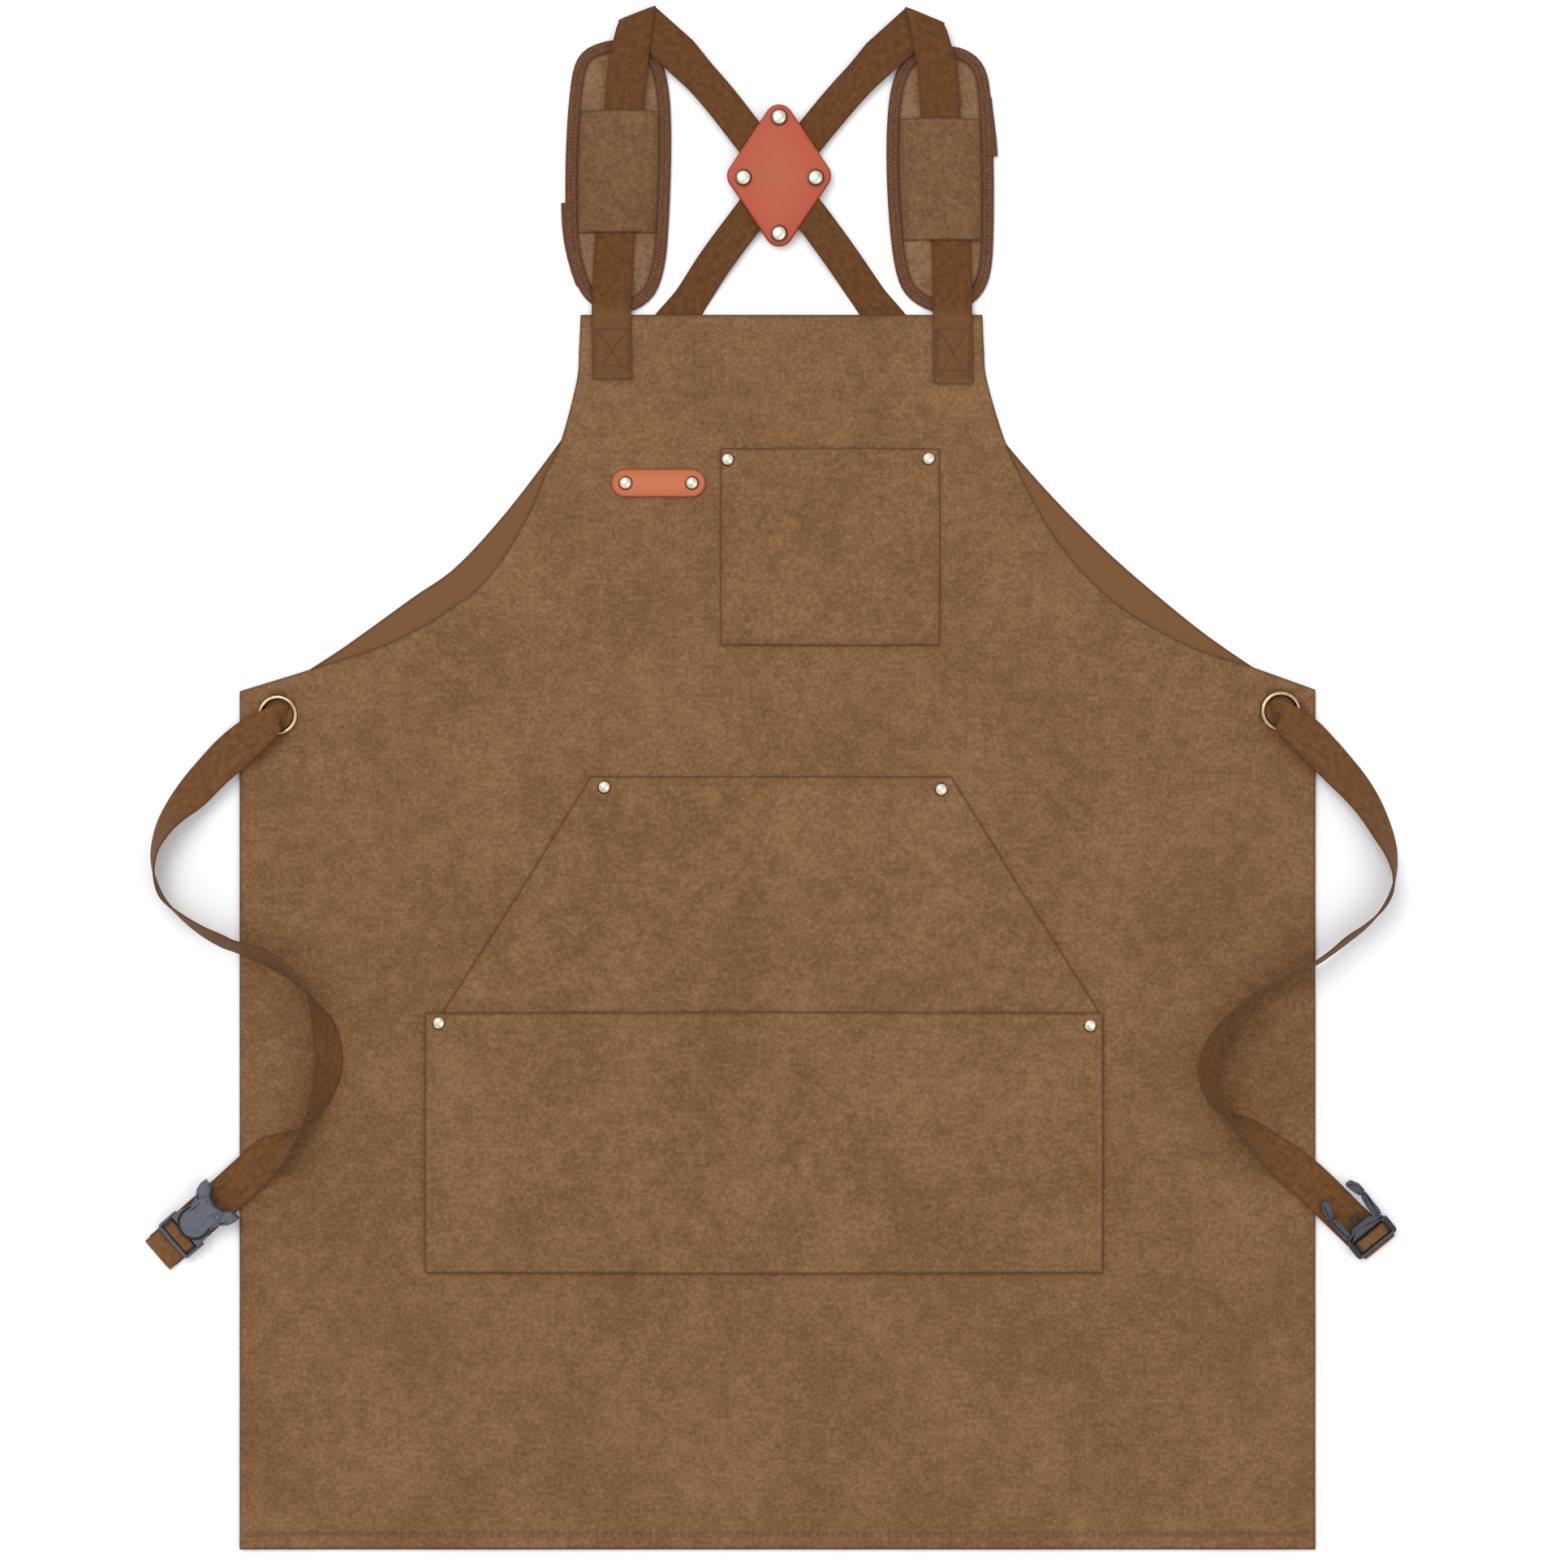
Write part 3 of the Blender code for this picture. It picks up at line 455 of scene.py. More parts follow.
def sheetMesh(name, outline, heights, thick, spacing, material, holes=(), rings=(0.5, 1.4, 3),
              roundEdge=0.4, edgeShadeWidth=1.1, seams=(), middleReach=0):
    # A cloth or leather piece cut to an outline. heights gives its top at x and y, and near
    # the cut edge the top rounds over by roundEdge.
    loops = [[Vector(p[:2]) for p in evenly(outline, spacing, True)]]
    loops += [[Vector(p[:2]) for p in hole] for hole in holes]
    coords, edges = [], []
    for loop in loops:
        start = len(coords)
        coords += loop
        edges += [(start + i, start + (i + 1) % len(loop)) for i in range(len(loop))]
    border = segmentsOf([(loop, True) for loop in loops])
    outer = [tuple(p) for p in loops[0]]
    for distance in rings:
        ring = insetLoop(outer, distance)
        coords += [p for p, reach in zip(ring, distances(ring, border)) if reach > distance * 0.8]
    low = [min(p[k] for p in outer) for k in (0, 1)]
    high = [max(p[k] for p in outer) for k in (0, 1)]
    clear = (rings[-1] if rings else 0) + spacing * 0.45
    rows = int((high[1] - low[1]) / spacing) + 1
    for row in range(rows):
        y = low[1] + (row + 0.5) * spacing
        crossings = crossingsAt(outer, y)
        for left, right in zip(crossings[::2], crossings[1::2]):
            count = max(1, int((right - left - 2 * clear) / spacing))
            for i in range(count + 1):
                x = left + clear + (right - left - 2 * clear) * i / count
                coords.append(Vector((x, y)))
    solved = delaunay_2d_cdt(coords, edges, [], 0, 1e-5)
    points2, triangles = solved[0], solved[2]
    kept = []
    holeLoops = [[tuple(p) for p in loop] for loop in loops[1:]]
    for tri in triangles:
        middle = sum((points2[i] for i in tri), Vector((0, 0))) / 3
        if inside(middle, outer) and not any(inside(middle, loop) for loop in holeLoops):
            kept.append(tri)
    used = sorted({i for tri in kept for i in tri})
    index = {old: new for new, old in enumerate(used)}
    flat = [points2[i] for i in used]
    gapTo = distances(flat, border).tolist()
    seamGap = distances(flat, segmentsOf(seams)).tolist() if seams else None
    count = len(flat)
    top, bottom = [], []
    for p, reach in zip(flat, gapTo):
        drop = roundEdge * (1 - min(reach / 1.2, 1)) ** 2
        z = heights(p.x, p.y)
        top.append((p.x, p.y, z - drop))
        depth = thick(p.x, p.y, z) if callable(thick) else thick
        bottom.append((p.x, p.y, z - depth + drop * 0.5))
    faces, edgeUse = [], {}
    for tri in kept:
        a, b, c = (index[i] for i in tri)
        if signedArea([flat[a], flat[b], flat[c]]) < 0:
            a, c = c, a
        faces.append((a, b, c))
        faces.append((c + count, b + count, a + count))
        for pair in ((a, b), (b, c), (c, a)):
            edgeUse[pair] = True
    for a, b in edgeUse:
        if (b, a) not in edgeUse:
            faces.append((b, a, a + count, b + count))
    # painted shade along the cut edge, and more weakly along the given seam lines, standing in for the shade
    # in those crevices
    painted_edge_shade = [max(0.0, 1 - reach / edgeShadeWidth) ** 1.2 for reach in gapTo]
    if seamGap:
        painted_edge_shade = [max(a, 0.55 * max(0.0, 1 - reach / 1.4)) for a, reach in zip(painted_edge_shade, seamGap)]
    marks = {"painted_edge_shade": painted_edge_shade * 2}
    if middleReach:
        marks["middle"] = [min(reach / middleReach, 1) for reach in gapTo] * 2
    return newPiece(name, top + bottom, faces, material, marks=marks)


def inside(point, loop):
    x, y = point[0], point[1]
    hit = False
    for (ax, ay), (bx, by) in zip(loop, loop[1:] + loop[:1]):
        if (ay > y) != (by > y) and x < (bx - ax) * (y - ay) / (by - ay) + ax:
            hit = not hit
    return hit


def tubeFaces(rings, sides, start=0):
    # Quads between rings of points that follow each other, with both ends capped.
    faces = []
    last = start + (rings - 1) * sides
    for first in range(start, last, sides):
        for j in range(sides):
            a, b = first + j, first + (j + 1) % sides
            faces.append((a, b, b + sides, a + sides))
    faces.append(tuple(start + j for j in reversed(range(sides))))
    faces.append(tuple(last + j for j in range(sides)))
    return faces


def stitches(name, lines, heights, material, pitch=3.1, length=2.3, width=0.55, zigzag=0.0):
    # Runs of thread: each stitch is a small round bar that dips at its ends.
    points, faces = [], []
    sides, rounds = 5, 4
    for line in lines:
        rows = evenly([tuple(p) for p in line], 0.6)
        travelled, due, count = 0.0, pitch / 2, 0
        for a, b in zip(rows, rows[1:]):
            step = (b - a).length
            travelled += step
            if travelled < due or step < 1e-6:
                continue
            due += pitch
            count += 1
            run = ((b - a) / step).to_2d()
            side = Vector((-run.y, run.x))
            centre = b.to_2d()
            if zigzag:
                lean = zigzag if count % 2 else -zigzag
                run = (run * pitch + side * lean * 2).normalized()
                side = Vector((-run.y, run.x))
            start = len(points)
            for i in range(rounds + 1):
                t = i / rounds
                swell = math.sin(math.pi * (0.08 + 0.84 * t))
                spot = centre + run * length * (t - 0.5)
                z = heights(spot.x, spot.y) + 0.22 * swell - 0.1
                for j in range(sides):
                    turn = math.tau * j / sides
                    across = side * math.cos(turn) * width / 2 * swell
                    points.append((spot.x + across.x, spot.y + across.y,
                                   z + math.sin(turn) * width / 2 * swell))
            faces += tubeFaces(rounds + 1, sides, start)
    return newPiece(name, points, faces, material)


def ribbonMesh(name, pairs, thick, material, columns=9, ripple=None):
    # A woven band through pairs of edge points; ripple gives its lift off that surface.
    rows = [(Vector(a), Vector(b)) for a, b in pairs]
    travelled, previous = 0.0, None
    points, maps = [], []
    size = 2 * columns
    for i, (left, right) in enumerate(rows):
        before, after = rows[max(i - 1, 0)], rows[min(i + 1, len(rows) - 1)]
        run = (after[0] + after[1]) - (before[0] + before[1])
        normal = (right - left).cross(run).normalized()
        middle = (left + right) / 2
        if previous is not None:
            travelled += (middle - previous).length
        previous = middle
        width = (right - left).length
        ring, ringMap = [], []
        for side in (1, -1):
            for j in range(columns):
                t = j / (columns - 1) if side > 0 else 1 - j / (columns - 1)
                rim = min(t, 1 - t) * width
                half = thick / 2 * (0.55 + 0.45 * min(rim / 0.9, 1))
                lift = ripple(travelled, t) if ripple else 0
                ring.append(left.lerp(right, t) + normal * (half * side + lift))
                ringMap.append((travelled * mm, (t - 0.5) * 0.025))
        points += ring
        maps += ringMap
    faces = tubeFaces(len(rows), size)
    faces.insert(0, faces.pop(-2))  # the cap at the start comes first
    return newPiece(name, points, faces, material, maps=maps)


def bandAlong(points, width):
    pairs = []
    for i, here in enumerate(points):
        run = points[min(i + 1, len(points) - 1)] - points[max(i - 1, 0)]
        across = Vector((run.y, -run.x, 0)).normalized() * width / 2
        pairs.append((here - across, here + across))
    return pairs


def latheMesh(name, profile, centre, base, material, count=32, closed=False, dark=()):
    # A profile of radius and height turned about a vertical axis standing at base.
    points = []
    for i in range(count):
        turn = math.tau * i / count
        points += [(centre[0] + r * math.cos(turn), centre[1] + r * math.sin(turn), base + z)
                   for r, z in profile]
    size = len(profile)
    faces = []
    for i in range(count):
        a, b = i * size, ((i + 1) % count) * size
        for j in range(size if closed else size - 1):
            k = (j + 1) % size
            faces.append((a + j, b + j, b + k, a + k))
    if not closed:
        faces.append(tuple(i * size for i in reversed(range(count))))
        faces.append(tuple(i * size + size - 1 for i in range(count)))
    # rings listed in dark get the painted shade mark
    marks = {"painted_edge_shade": [1.0 if j in dark else 0.0 for j in range(size)] * count}
    return newPiece(name, points, faces, material, marks=marks)


# Sizes shared with the frame, in millimetres.
webbingWidth, webbingThick, canvasThick, clearance = 25.0, 1.4, 1.0, 0.35
skirtHalfWidth, skirtBottom, bibTop = 340.0, -487.5, 293.0
panelTop = 2.75
padStrapMid, foldUnderMid = 7.05, 5.3
patchMid, overEdgeMid, backStrapMid = 3.8, 4.25, 0.7
crossLowMid, crossHighMid = 4.0, 5.75
leftGrommet, rightGrommet, crossCentre = (-316.0, 40.0), (318.0, 42.5), (1.0, 380.5)
sideHemTop = 54
pocketLift = clearance + canvasThick
lowerLift = 2 * pocketLift
tagLift = clearance + 1.6

armholeLeft = [(-124.5, 293), (-125.5, 271.5), (-127, 251), (-137, 213), (-146, 194), (-157.5, 167),
               (-173, 140), (-187, 122.5), (-201, 111), (-228.5, 93.5), (-256, 81.5), (-294.5, 69),
               (-340, 55)]
armholeRight = [(129.5, 293), (130.5, 271.5), (132.5, 251), (145, 210), (160, 179), (171, 159),
                (187.5, 136.5), (205, 118.5), (222, 105), (239, 94.5), (256, 85.5), (273, 78.5),
                (298, 71), (340, 56)]


def flatSmooth(points, steps):
    return [(p.x, p.y) for p in smooth([(*p, 0) for p in points], steps)]


leftEdge, rightEdge = flatSmooth(armholeLeft, 6), flatSmooth(armholeRight, 6)
panelOutline = leftEdge + [(-skirtHalfWidth, skirtBottom), (skirtHalfWidth, skirtBottom)] + rightEdge[::-1]
sideStitchIn, bottomStitchIn, topStitchIn, facingStitchIn, armStitchIn = 5.6, 9.2, 8.2, 41.5, 6.5


def clothHeight(x, y):
    # Top of the laid cloth: long soft waves and small ripples.
    wave = noise.noise(Vector((x / 62, y / 74, 3.1))) * 0.42
    ripple = noise.noise(Vector((x / 24, y / 30, 8.7))) * 0.17
    drag = noise.noise(Vector(((x + y * 0.6) / 34, (y - x * 0.4) / 110, 5.0))) * 0.22
    return panelTop + wave + ripple + drag


def panelHeight(x, y):
    # The cloth with its turned hems: a low step, and a groove with puckers at each row of stitches.
    z = clothHeight(x, y)
    pucker = noise.noise(Vector((x / 5.5, y / 5.5, 1.0)))
    lines = [(y - skirtBottom, bottomStitchIn)]
    if y < sideHemTop:
        lines.append((skirtHalfWidth - abs(x), sideStitchIn))
    if y > 240:
        lines += [(bibTop - y, topStitchIn), (bibTop - y, facingStitchIn)]
    for reach, seat in lines:
        if seat != facingStitchIn and reach < seat + 1.5:
            z += 0.3 * eased(seat + 1.5 - reach, 0, 2.5)
        if abs(reach - seat) < 3.5:
            z -= (0.16 + 0.2 * pucker) * (1 - abs(reach - seat) / 3.5)
    return z


def apronPanel():
    seamAt, holeRadius = skirtBottom + bottomStitchIn, 10.7
    seams = [([(-skirtHalfWidth, seamAt), (skirtHalfWidth, seamAt)], False)]
    holes = [circle(leftGrommet, holeRadius), circle(rightGrommet, holeRadius)]
    panel = sheetMesh("canvas_panel", panelOutline, panelHeight, canvasThick, 5.0, canvas["panel"], holes,
                      rings=(0.6, 1.8, 4, 7, 9.5), edgeShadeWidth=1.3, seams=seams)
    attach(panel, "apron", "apron_panel", slot="canvas")
    edge, inner = skirtHalfWidth - 0.4, skirtHalfWidth - 7.5
    low, high = skirtBottom + 0.4, sideHemTop - 4
    hem = [(-edge, low), (edge, low), (edge, high), (inner, high), (inner, low + 7), (-inner, low + 7),
           (-inner, high), (-edge, high)]
    under = sheetMesh("doubled_hem", hem, lambda x, y: 1.6, 1.5, 7.0, canvas["panel"], rings=(0.6,))
    attach(under, "apron", slot="canvas")


def pocketPieces():
    # The chest pocket, the hand pocket and the lower pocket over its foot, each with a turned mouth.
    pieces = [
        {"name": "chest_pocket_cloth", "node": "chest_pocket", "lift": pocketLift,
         "outline": [(-36, 84), (-36.3, 150), (-36, 208.5), (34, 208.9), (102.5, 208.3), (102.9, 150),
                     (102.5, 84), (30, 83.6)],
         "mouth": [((-36, 208.5), (102.5, 208.3))]},
        {"name": "hand_pocket_cloth", "node": "hand_pocket", "lift": pocketLift,
         "outline": [(-118, 1), (-164, -73.2), (-210.5, -146), (-210.5, -306), (202.5, -306), (202.5, -146),
                     (156, -73.4), (110, 1), (0, 1.2)],
         "mouth": [((-118, 1), (-210.5, -146)), ((202.5, -146), (110, 1))]},
        {"name": "lower_pocket_cloth", "node": "lower_pocket", "lift": lowerLift,
         "outline": [(-222.5, -312.5), (-8, -313), (205.5, -312.5), (205.8, -230), (205.5, -148),
                     (-8, -147.6), (-222.5, -148), (-222.9, -230)],
         "mouth": [((-222.5, -148), (205.5, -148))]},
    ]
    for piece in pieces:
        mouths = segmentsOf([(line, False) for line in piece["mouth"]])
        edges = segmentsOf([(piece["outline"], True)])

        def height(x, y, lift=piece["lift"], mouths=mouths, outline=edges):
            toMouth = distances([(x, y)], mouths)[0]
            inward = distances([(x, y)], outline)[0]
            puff = 0.5 * eased(inward, 3, 22) * (0.6 + noise.noise(Vector((x / 40, y / 40, 20))))
            pucker = 0.2 * noise.noise(Vector((x / 5, y / 5, 2))) * max(0, 1 - abs(inward - 4) / 5)
            return clothHeight(x, y) + lift + puff + pucker + 0.25 * eased(12 - toMouth, 0, 8)

        if piece["node"] == "hand_pocket":
            under = height

            def height(x, y, under=under):
                return under(x, y) - 0.48 * eased(-y, 140, 152)  # pressed down under the lower pocket

        made = sheetMesh(piece["name"], piece["outline"], height, canvasThick, 5.0, canvas["pocket"],
                         rings=(0.6, 1.8, 4.2, 8, 11), edgeShadeWidth=1.5)
        attach(made, "apron", piece["node"], slot="canvas")


def stitchWork():
    # Every visible row of thread on the body, at the height of the cloth it holds.
    side, bottom, top = skirtHalfWidth - sideStitchIn, skirtBottom + bottomStitchIn, bibTop - topStitchIn
    facing = bibTop - facingStitchIn
    body = [[(-side, 48), (-side, bottom)], [(side, 48), (side, bottom)], [(-side, bottom), (side, bottom)],
            [(-122, top), (127, top)], [(-121, facing), (126, facing)]]
    for edge, inward in ((leftEdge, 1), (rightEdge, -1)):
        line = []
        for a, b in zip(edge, edge[1:]):
            run = (Vector(b) - Vector(a)).normalized()
            line.append((a[0] - run.y * armStitchIn * inward, a[1] + run.x * armStitchIn * inward))
        body.append(line[2:])
    attach(stitches("panel_stitching", body, panelHeight, thread["body"]), "apron", slot="canvas")
    chest = [[(-33.8, 207), (-33.8, 86.4), (100.3, 86.4), (100.3, 207)], [(-35, 199), (101.5, 198.8)]]
    hand = [[(-117, -3.5), (109, -3.5)], [(-113, -2), (-204.5, -146)], [(105, -2), (196.5, -146)],
            [(-105, -2), (-196.5, -146)], [(97, -2), (188.5, -146)]]
    lower = [[(x, -149.5), (x, y), (-x - 17, y), (-x - 17, -149.5)]
             for x, y in ((-217.6, -307.8), (-210.8, -301))]
    lower += [[(-221, -157.5), (204, -157.5)], [(-7.5, -158), (-7.5, -309)]]
    pocketRows = (("chest_pocket_stitching", chest, pocketLift), ("hand_pocket_stitching", hand, pocketLift),
                  ("lower_pocket_stitching", lower, lowerLift))
    for name, lines, lift in pocketRows:
        made = stitches(name, lines, lambda x, y, lift=lift: clothHeight(x, y) + lift + 0.25, thread["body"])
        attach(made, "apron", slot="canvas")


# Where each pair of small rivets stands, and how far its seat lies above the panel.
smallRivets = {
    "leather_tag": {"left": (-96, 186.5), "right": (-54, 186.5), "lift": tagLift},
    "chest_pocket": {"left": (-31.5, 201.5), "right": (95.5, 202), "lift": pocketLift},
    "hand_pocket": {"left": (-109.5, -5.5), "right": (103.5, -7), "lift": pocketLift},
    "lower_pocket": {"left": (-214, -154.5), "right": (197.5, -156), "lift": lowerLift},
}


def rivetCaps():
    small = [(4.2, -0.95), (4.5, -0.66), (4.3, -0.5), (3.75, -0.45), (3.8, -0.1), (3.7, 0.35), (3.35, 0.8),
             (2.75, 1.18), (1.9, 1.48), (0.9, 1.64), (0.3, 1.68)]
    for part, pair in smallRivets.items():
        for side in ("left", "right"):
            name, centre = "%s_%s_rivet" % (part, side), pair[side]
            base = clothHeight(*centre) + pair["lift"] + 0.75
            # the flange under the cap is marked dark: a painted shadow ring round each rivet
            cap = latheMesh(name + "_cap", small, centre, base, brass["cap"], dark=(0, 1, 2, 3))
            attach(cap, "apron", name, slot="brass")
    big = [(4.4, -0.9), (5.25, -0.6), (5.4, -0.1), (5.2, 0.32), (4.75, 0.45), (4.45, 0.42), (4.35, 0.65),
           (4.2, 1.05), (3.7, 1.4), (2.6, 1.66), (1.4, 1.76), (0.4, 1.78)]
    x, y = crossCentre
    places = {"top": (x, y + 36.3), "left": (x - 22.5, y - 1.8), "right": (x + 23, y - 1.8),
              "bottom": (x, y - 37)}
    for side, centre in places.items():
        name = "cross_%s_rivet" % side
        # painted shadow on the rim rings marked dark
        cap = latheMesh(name + "_cap", big, centre, 9.5, brass["cap"], dark=(0, 1, 3, 4, 5))
        attach(cap, "apron", name, slot="brass")
        tail = [(4.4, 0), (4.6, 0.3), (4.3, 0.7), (1, 0.8)]
        back = latheMesh(name + "_back", tail, centre, 0.05, brass["cap"])
        attach(back, "apron", slot="brass")


def grommets():
    ring = [(12.6 - 1.35 + 1.35 * math.cos(t), 0.15 + 1.25 * math.sin(t))
            for t in [math.pi * i / 12 for i in range(11)]]
    ring += [(9.75, 0.6), (9.6, -0.6), (9.6, -2.0), (10.1, -2.0), (10.3, -0.4), (12.4, -0.3)]
    for side, centre in (("left", leftGrommet), ("right", rightGrommet)):
        base = clothHeight(*centre) + clearance
        # painted shade on the ring's edges and barrel, marked dark
        made = latheMesh(side + "_grommet_ring", ring, centre, base, brass["grommet"], 96, closed=True,
                         dark=(0, 1, 10, 11, 12, 13, 14))
        attach(made, "apron", side + "_grommet", slot="brass")
        washer = [(9.9, 0.1), (12.5, 0.1), (12.5, 0.6), (9.9, 0.7)]
        under = latheMesh(side + "_grommet_back", washer, centre, 0.5, brass["grommet"], 48, closed=True)
        attach(under, "apron", side + "_grommet_washer", slot="brass")


def leatherPieces():
    tag = rounded([(-105, 177.8), (-45.5, 177.8), (-45.5, 195.2), (-105, 195.2)], 8.6, 8)
    made = sheetMesh("leather_tag_piece", tag, lambda x, y: clothHeight(x, y) + tagLift, 1.5, 2.2,
                     leather["tag"], rings=(0.4, 1.0, 2), roundEdge=0.7, edgeShadeWidth=1.0, middleReach=7)
    attach(made, "apron", "leather_tag", slot="leather")
    x, y = crossCentre
    diamond = rounded([(x, y + 52), (x - 34.5, y), (x, y - 51.5), (x + 34.5, y)], [9, 8, 9, 8], 8)
    outline = segmentsOf([(diamond, True)])

    def crossTop(px, py):
        reach = distances([(px, py)], outline)[0]
        return 8.25 + 0.5 * eased(reach, 0, 16)

    front = sheetMesh("leather_cross_top", diamond, crossTop, 1.7, 2.4, leather["cross"],
                      rings=(0.4, 1.0, 2), roundEdge=0.8, edgeShadeWidth=1.2, middleReach=24)
    attach(front, "apron", "leather_cross_front", slot="leather")
    back = sheetMesh("leather_cross_under", diamond, lambda px, py: 2.9, 1.7, 4, leather["cross"],
                     rings=(0.4, 1.2), roundEdge=0.6, edgeShadeWidth=1.2, middleReach=24)
    attach(back, "apron", "leather_cross_back", slot="leather")


# Centre lines of the shoulder straps, from the bib's patch over the fold and down to the grommet.
straps = {
    "left": {
        "rise": [(-104.5, 252.5), (-104.5, 271.5), (-105, 293), (-102.5, 343.5), (-97, 421.5), (-94, 454)],
        "fall": [(-62.5, 457.5), (-40, 433), (-19.5, 407), (1, 380.5), (23, 352.5), (44.5, 323),
                 (65.5, 293.5), (98.5, 249.5), (133, 206), (161.5, 173), (196.5, 137.5), (231, 107),
                 (266, 79), (304, 53), (313, 46), (323, 38.5)],
        "fold": [(-100.5, 478), (-77, 487.5)], "cross": crossHighMid},
    "right": {
        "rise": [(111, 249.5), (111, 271.5), (110.5, 293), (109.5, 339.5), (103, 417), (100.5, 451.5)],
        "fall": [(65, 455.5), (42, 431), (21.5, 406.5), (1, 380.5), (-17, 356.5), (-40, 325.5),
                 (-61.5, 293.5), (-96.5, 249.5), (-129, 203.5), (-163.5, 158.5), (-195.5, 124), (-225, 103),
                 (-264.5, 74.5), (-286.5, 60), (-302, 50), (-311.5, 43.5), (-321, 36.5)],
        "fold": [(80.5, 486.5), (105.5, 476.5)], "cross": crossLowMid},
}


def riseHeight(x, y):
    firm = eased(y, 278, 291, patchMid, overEdgeMid) + eased(y, 297, 318, 0, padStrapMid - overEdgeMid)
    return max(firm, clothHeight(x, y) + clearance + webbingThick / 2) if y < 291 else firm


def strapPairs(strap):
    up = [Vector((p[0], p[1], riseHeight(*p))) for p in flatSmooth(strap["rise"], 9)]
    pairs = bandAlong(up, webbingWidth)
    foldPair = [Vector((*point, padStrapMid)) for point in strap["fold"]]
    last = pairs[-1]
    pairs += [(last[0].lerp(foldPair[0], t), last[1].lerp(foldPair[1], t)) for t in (0.2, 0.4, 0.6, 0.8)]
    radius = (padStrapMid - foldUnderMid) / 2
    along = (foldPair[1] - foldPair[0]).normalized()
    outward = Vector((-along.y, along.x, 0))
    for i in range(9):
        turn = math.pi * i / 8
        lift = Vector((0, 0, radius * (math.cos(turn) - 1))) + outward * radius * (math.sin(turn) - 1)
        pairs.append((foldPair[0] + lift, foldPair[1] + lift))
    down = []
    for x, y in flatSmooth(strap["fall"], 8):
        if y > crossCentre[1]:
            z = eased(y, 422, 448, strap["cross"], foldUnderMid)
        else:
            z = eased(y, 303, 334, backStrapMid, strap["cross"])
        down.append(Vector((x, y, z)))
    under = []
    for point, (a, b) in zip(down, bandAlong(down, webbingWidth)):
        # drawn in a little between the top and the bib
        slim = eased(point.y, 285, 305, 0, 0.065) - eased(point.y, 440, 460, 0, 0.065)
        under.append((a.lerp(b, slim), b.lerp(a, slim)))
    last = pairs[-1]
    if (last[0] - under[0][0]).length > (last[0] - under[0][1]).length:
        under = [(b, a) for a, b in under]
    pairs += [(last[0].lerp(under[0][0], t), last[1].lerp(under[0][1], t)) for t in (0.25, 0.5, 0.75)]
    return pairs + under


def strapLift(travelled, t):
    # The frayed start stands up a little, and the rest waves softly.
    fray = 0.7 * eased(5 - travelled, 0, 1.8) * (0.8 + 0.2 * math.sin(9 * t))
    return fray + 0.1 * math.sin(travelled / 9 + 5 * t)


def patchTop(x, y):
    return riseHeight(x, y) + 0.75


def shoulderStraps():
    for side, strap in straps.items():
        made = ribbonMesh(side + "_shoulder_webbing", strapPairs(strap), webbingThick, webbing["strap"], 9,
                          strapLift)
        attach(made, "apron", side + "_shoulder_strap", slot="webbing")
        x0 = strap["rise"][0][0]
        low, high = strap["rise"][0][1] + 3, 284
        left, right = x0 - 10, x0 + 10
        box = [[(left, low), (right, low), (right, high), (left, high), (left, low)],
               [(left, low), (right, high)], [(left, high), (right, low)],
               [(left, low + 5), (right, low + 5)]]
        sewn = stitches(side + "_patch_stitching", box, patchTop, thread["patch"], pitch=2.5, length=2.2,
                        width=0.85)
        attach(sewn, "apron", slot="webbing")


# Waist ties: each row is the edge near the floor, then the raised edge, as x, y and height.
leftTie = [(-308.9, 44.6, .9, -312.4, 32.3, .9), (-310.2, 46.5, 2.9, -315.6, 32, 3.4),
           (-316, 47, 5.4, -315, 33, 9),
           (-326.6, 42.6, 6.9, -312.8, 30.3, 12.5), (-340, 35.4, 5.2, -323.1, 18.5, 12.5),
           (-353.4, 24.7, 3.7, -336.4, 6.7, 8), (-365.2, 12.3, 2.2, -348.2, -4.1, 12),
           (-376, -.5, .8, -361.1, -16.9, 13), (-385.2, -13.9, .7, -372.9, -26.2, 19),
           (-391.9, -26.7, .7, -380.6, -33.9, 22), (-395.5, -39.5, .7, -387.3, -43.6, 24),
           (-396, -51.9, .7, -390.1, -52.9, 25), (-393.4, -63.7, .7, -390.3, -62.7, 25.5),
           (-387.8, -76, .7, -386.2, -74.5, 25.6), (-378, -87.8, .7, -375, -84.1, 25.5),
           (-365.2, -98.6, 1, -361.2, -92.3, 25), (-352.3, -106.3, 2.6, -348.4, -97.7, 26),
           (-342.6, -109.9, 3.8, -339.5, -101.7, 27.2), (-333.8, -113.5, 3.8, -330.8, -103.7, 26.7),
           (-322.5, -118.6, 3.8, -317.4, -108.6, 26), (-311.2, -124.8, 3.8, -306.1, -117.1, 26.8),
           (-299.9, -133.5, 3.8, -296.9, -128.4, 28), (-289.2, -143.3, 3.8, -292.8, -142.3, 28.3),
           (-280.9, -152.5, 3.8, -291.2, -155.6, 26.3), (-275.8, -167.4, 3.8, -290.2, -168.5, 24),
           (-275.3, -182.8, 3.8, -289.9, -181.3, 24), (-279.4, -197.2, 3.8, -291.2, -193.6, 25.5),
           (-286.1, -209, 3.8, -294.3, -207, 27), (-294.3, -217.2, 3.8, -297.9, -218.8, 28.3),
           (-304.1, -221.9, 3.8, -303, -229.6, 27.3), (-314.8, -224.4, 3.8, -309.7, -241.4, 21.2),
           (-326.6, -228, 3.8, -316.4, -249.6, 10.5), (-339.5, -238.3, 3.8, -323.6, -256.8, 7.2),
           (-357.5, -254.7, 3.6, -340.5, -272.7, 4.6), (-371.3, -266.6, 2.3, -354.4, -284.5, 3.2),
           (-386, -279.7, 1.2, -369.3, -298.2, 1.6), (-397.2, -289.6, .75, -380.5, -308, .75)]
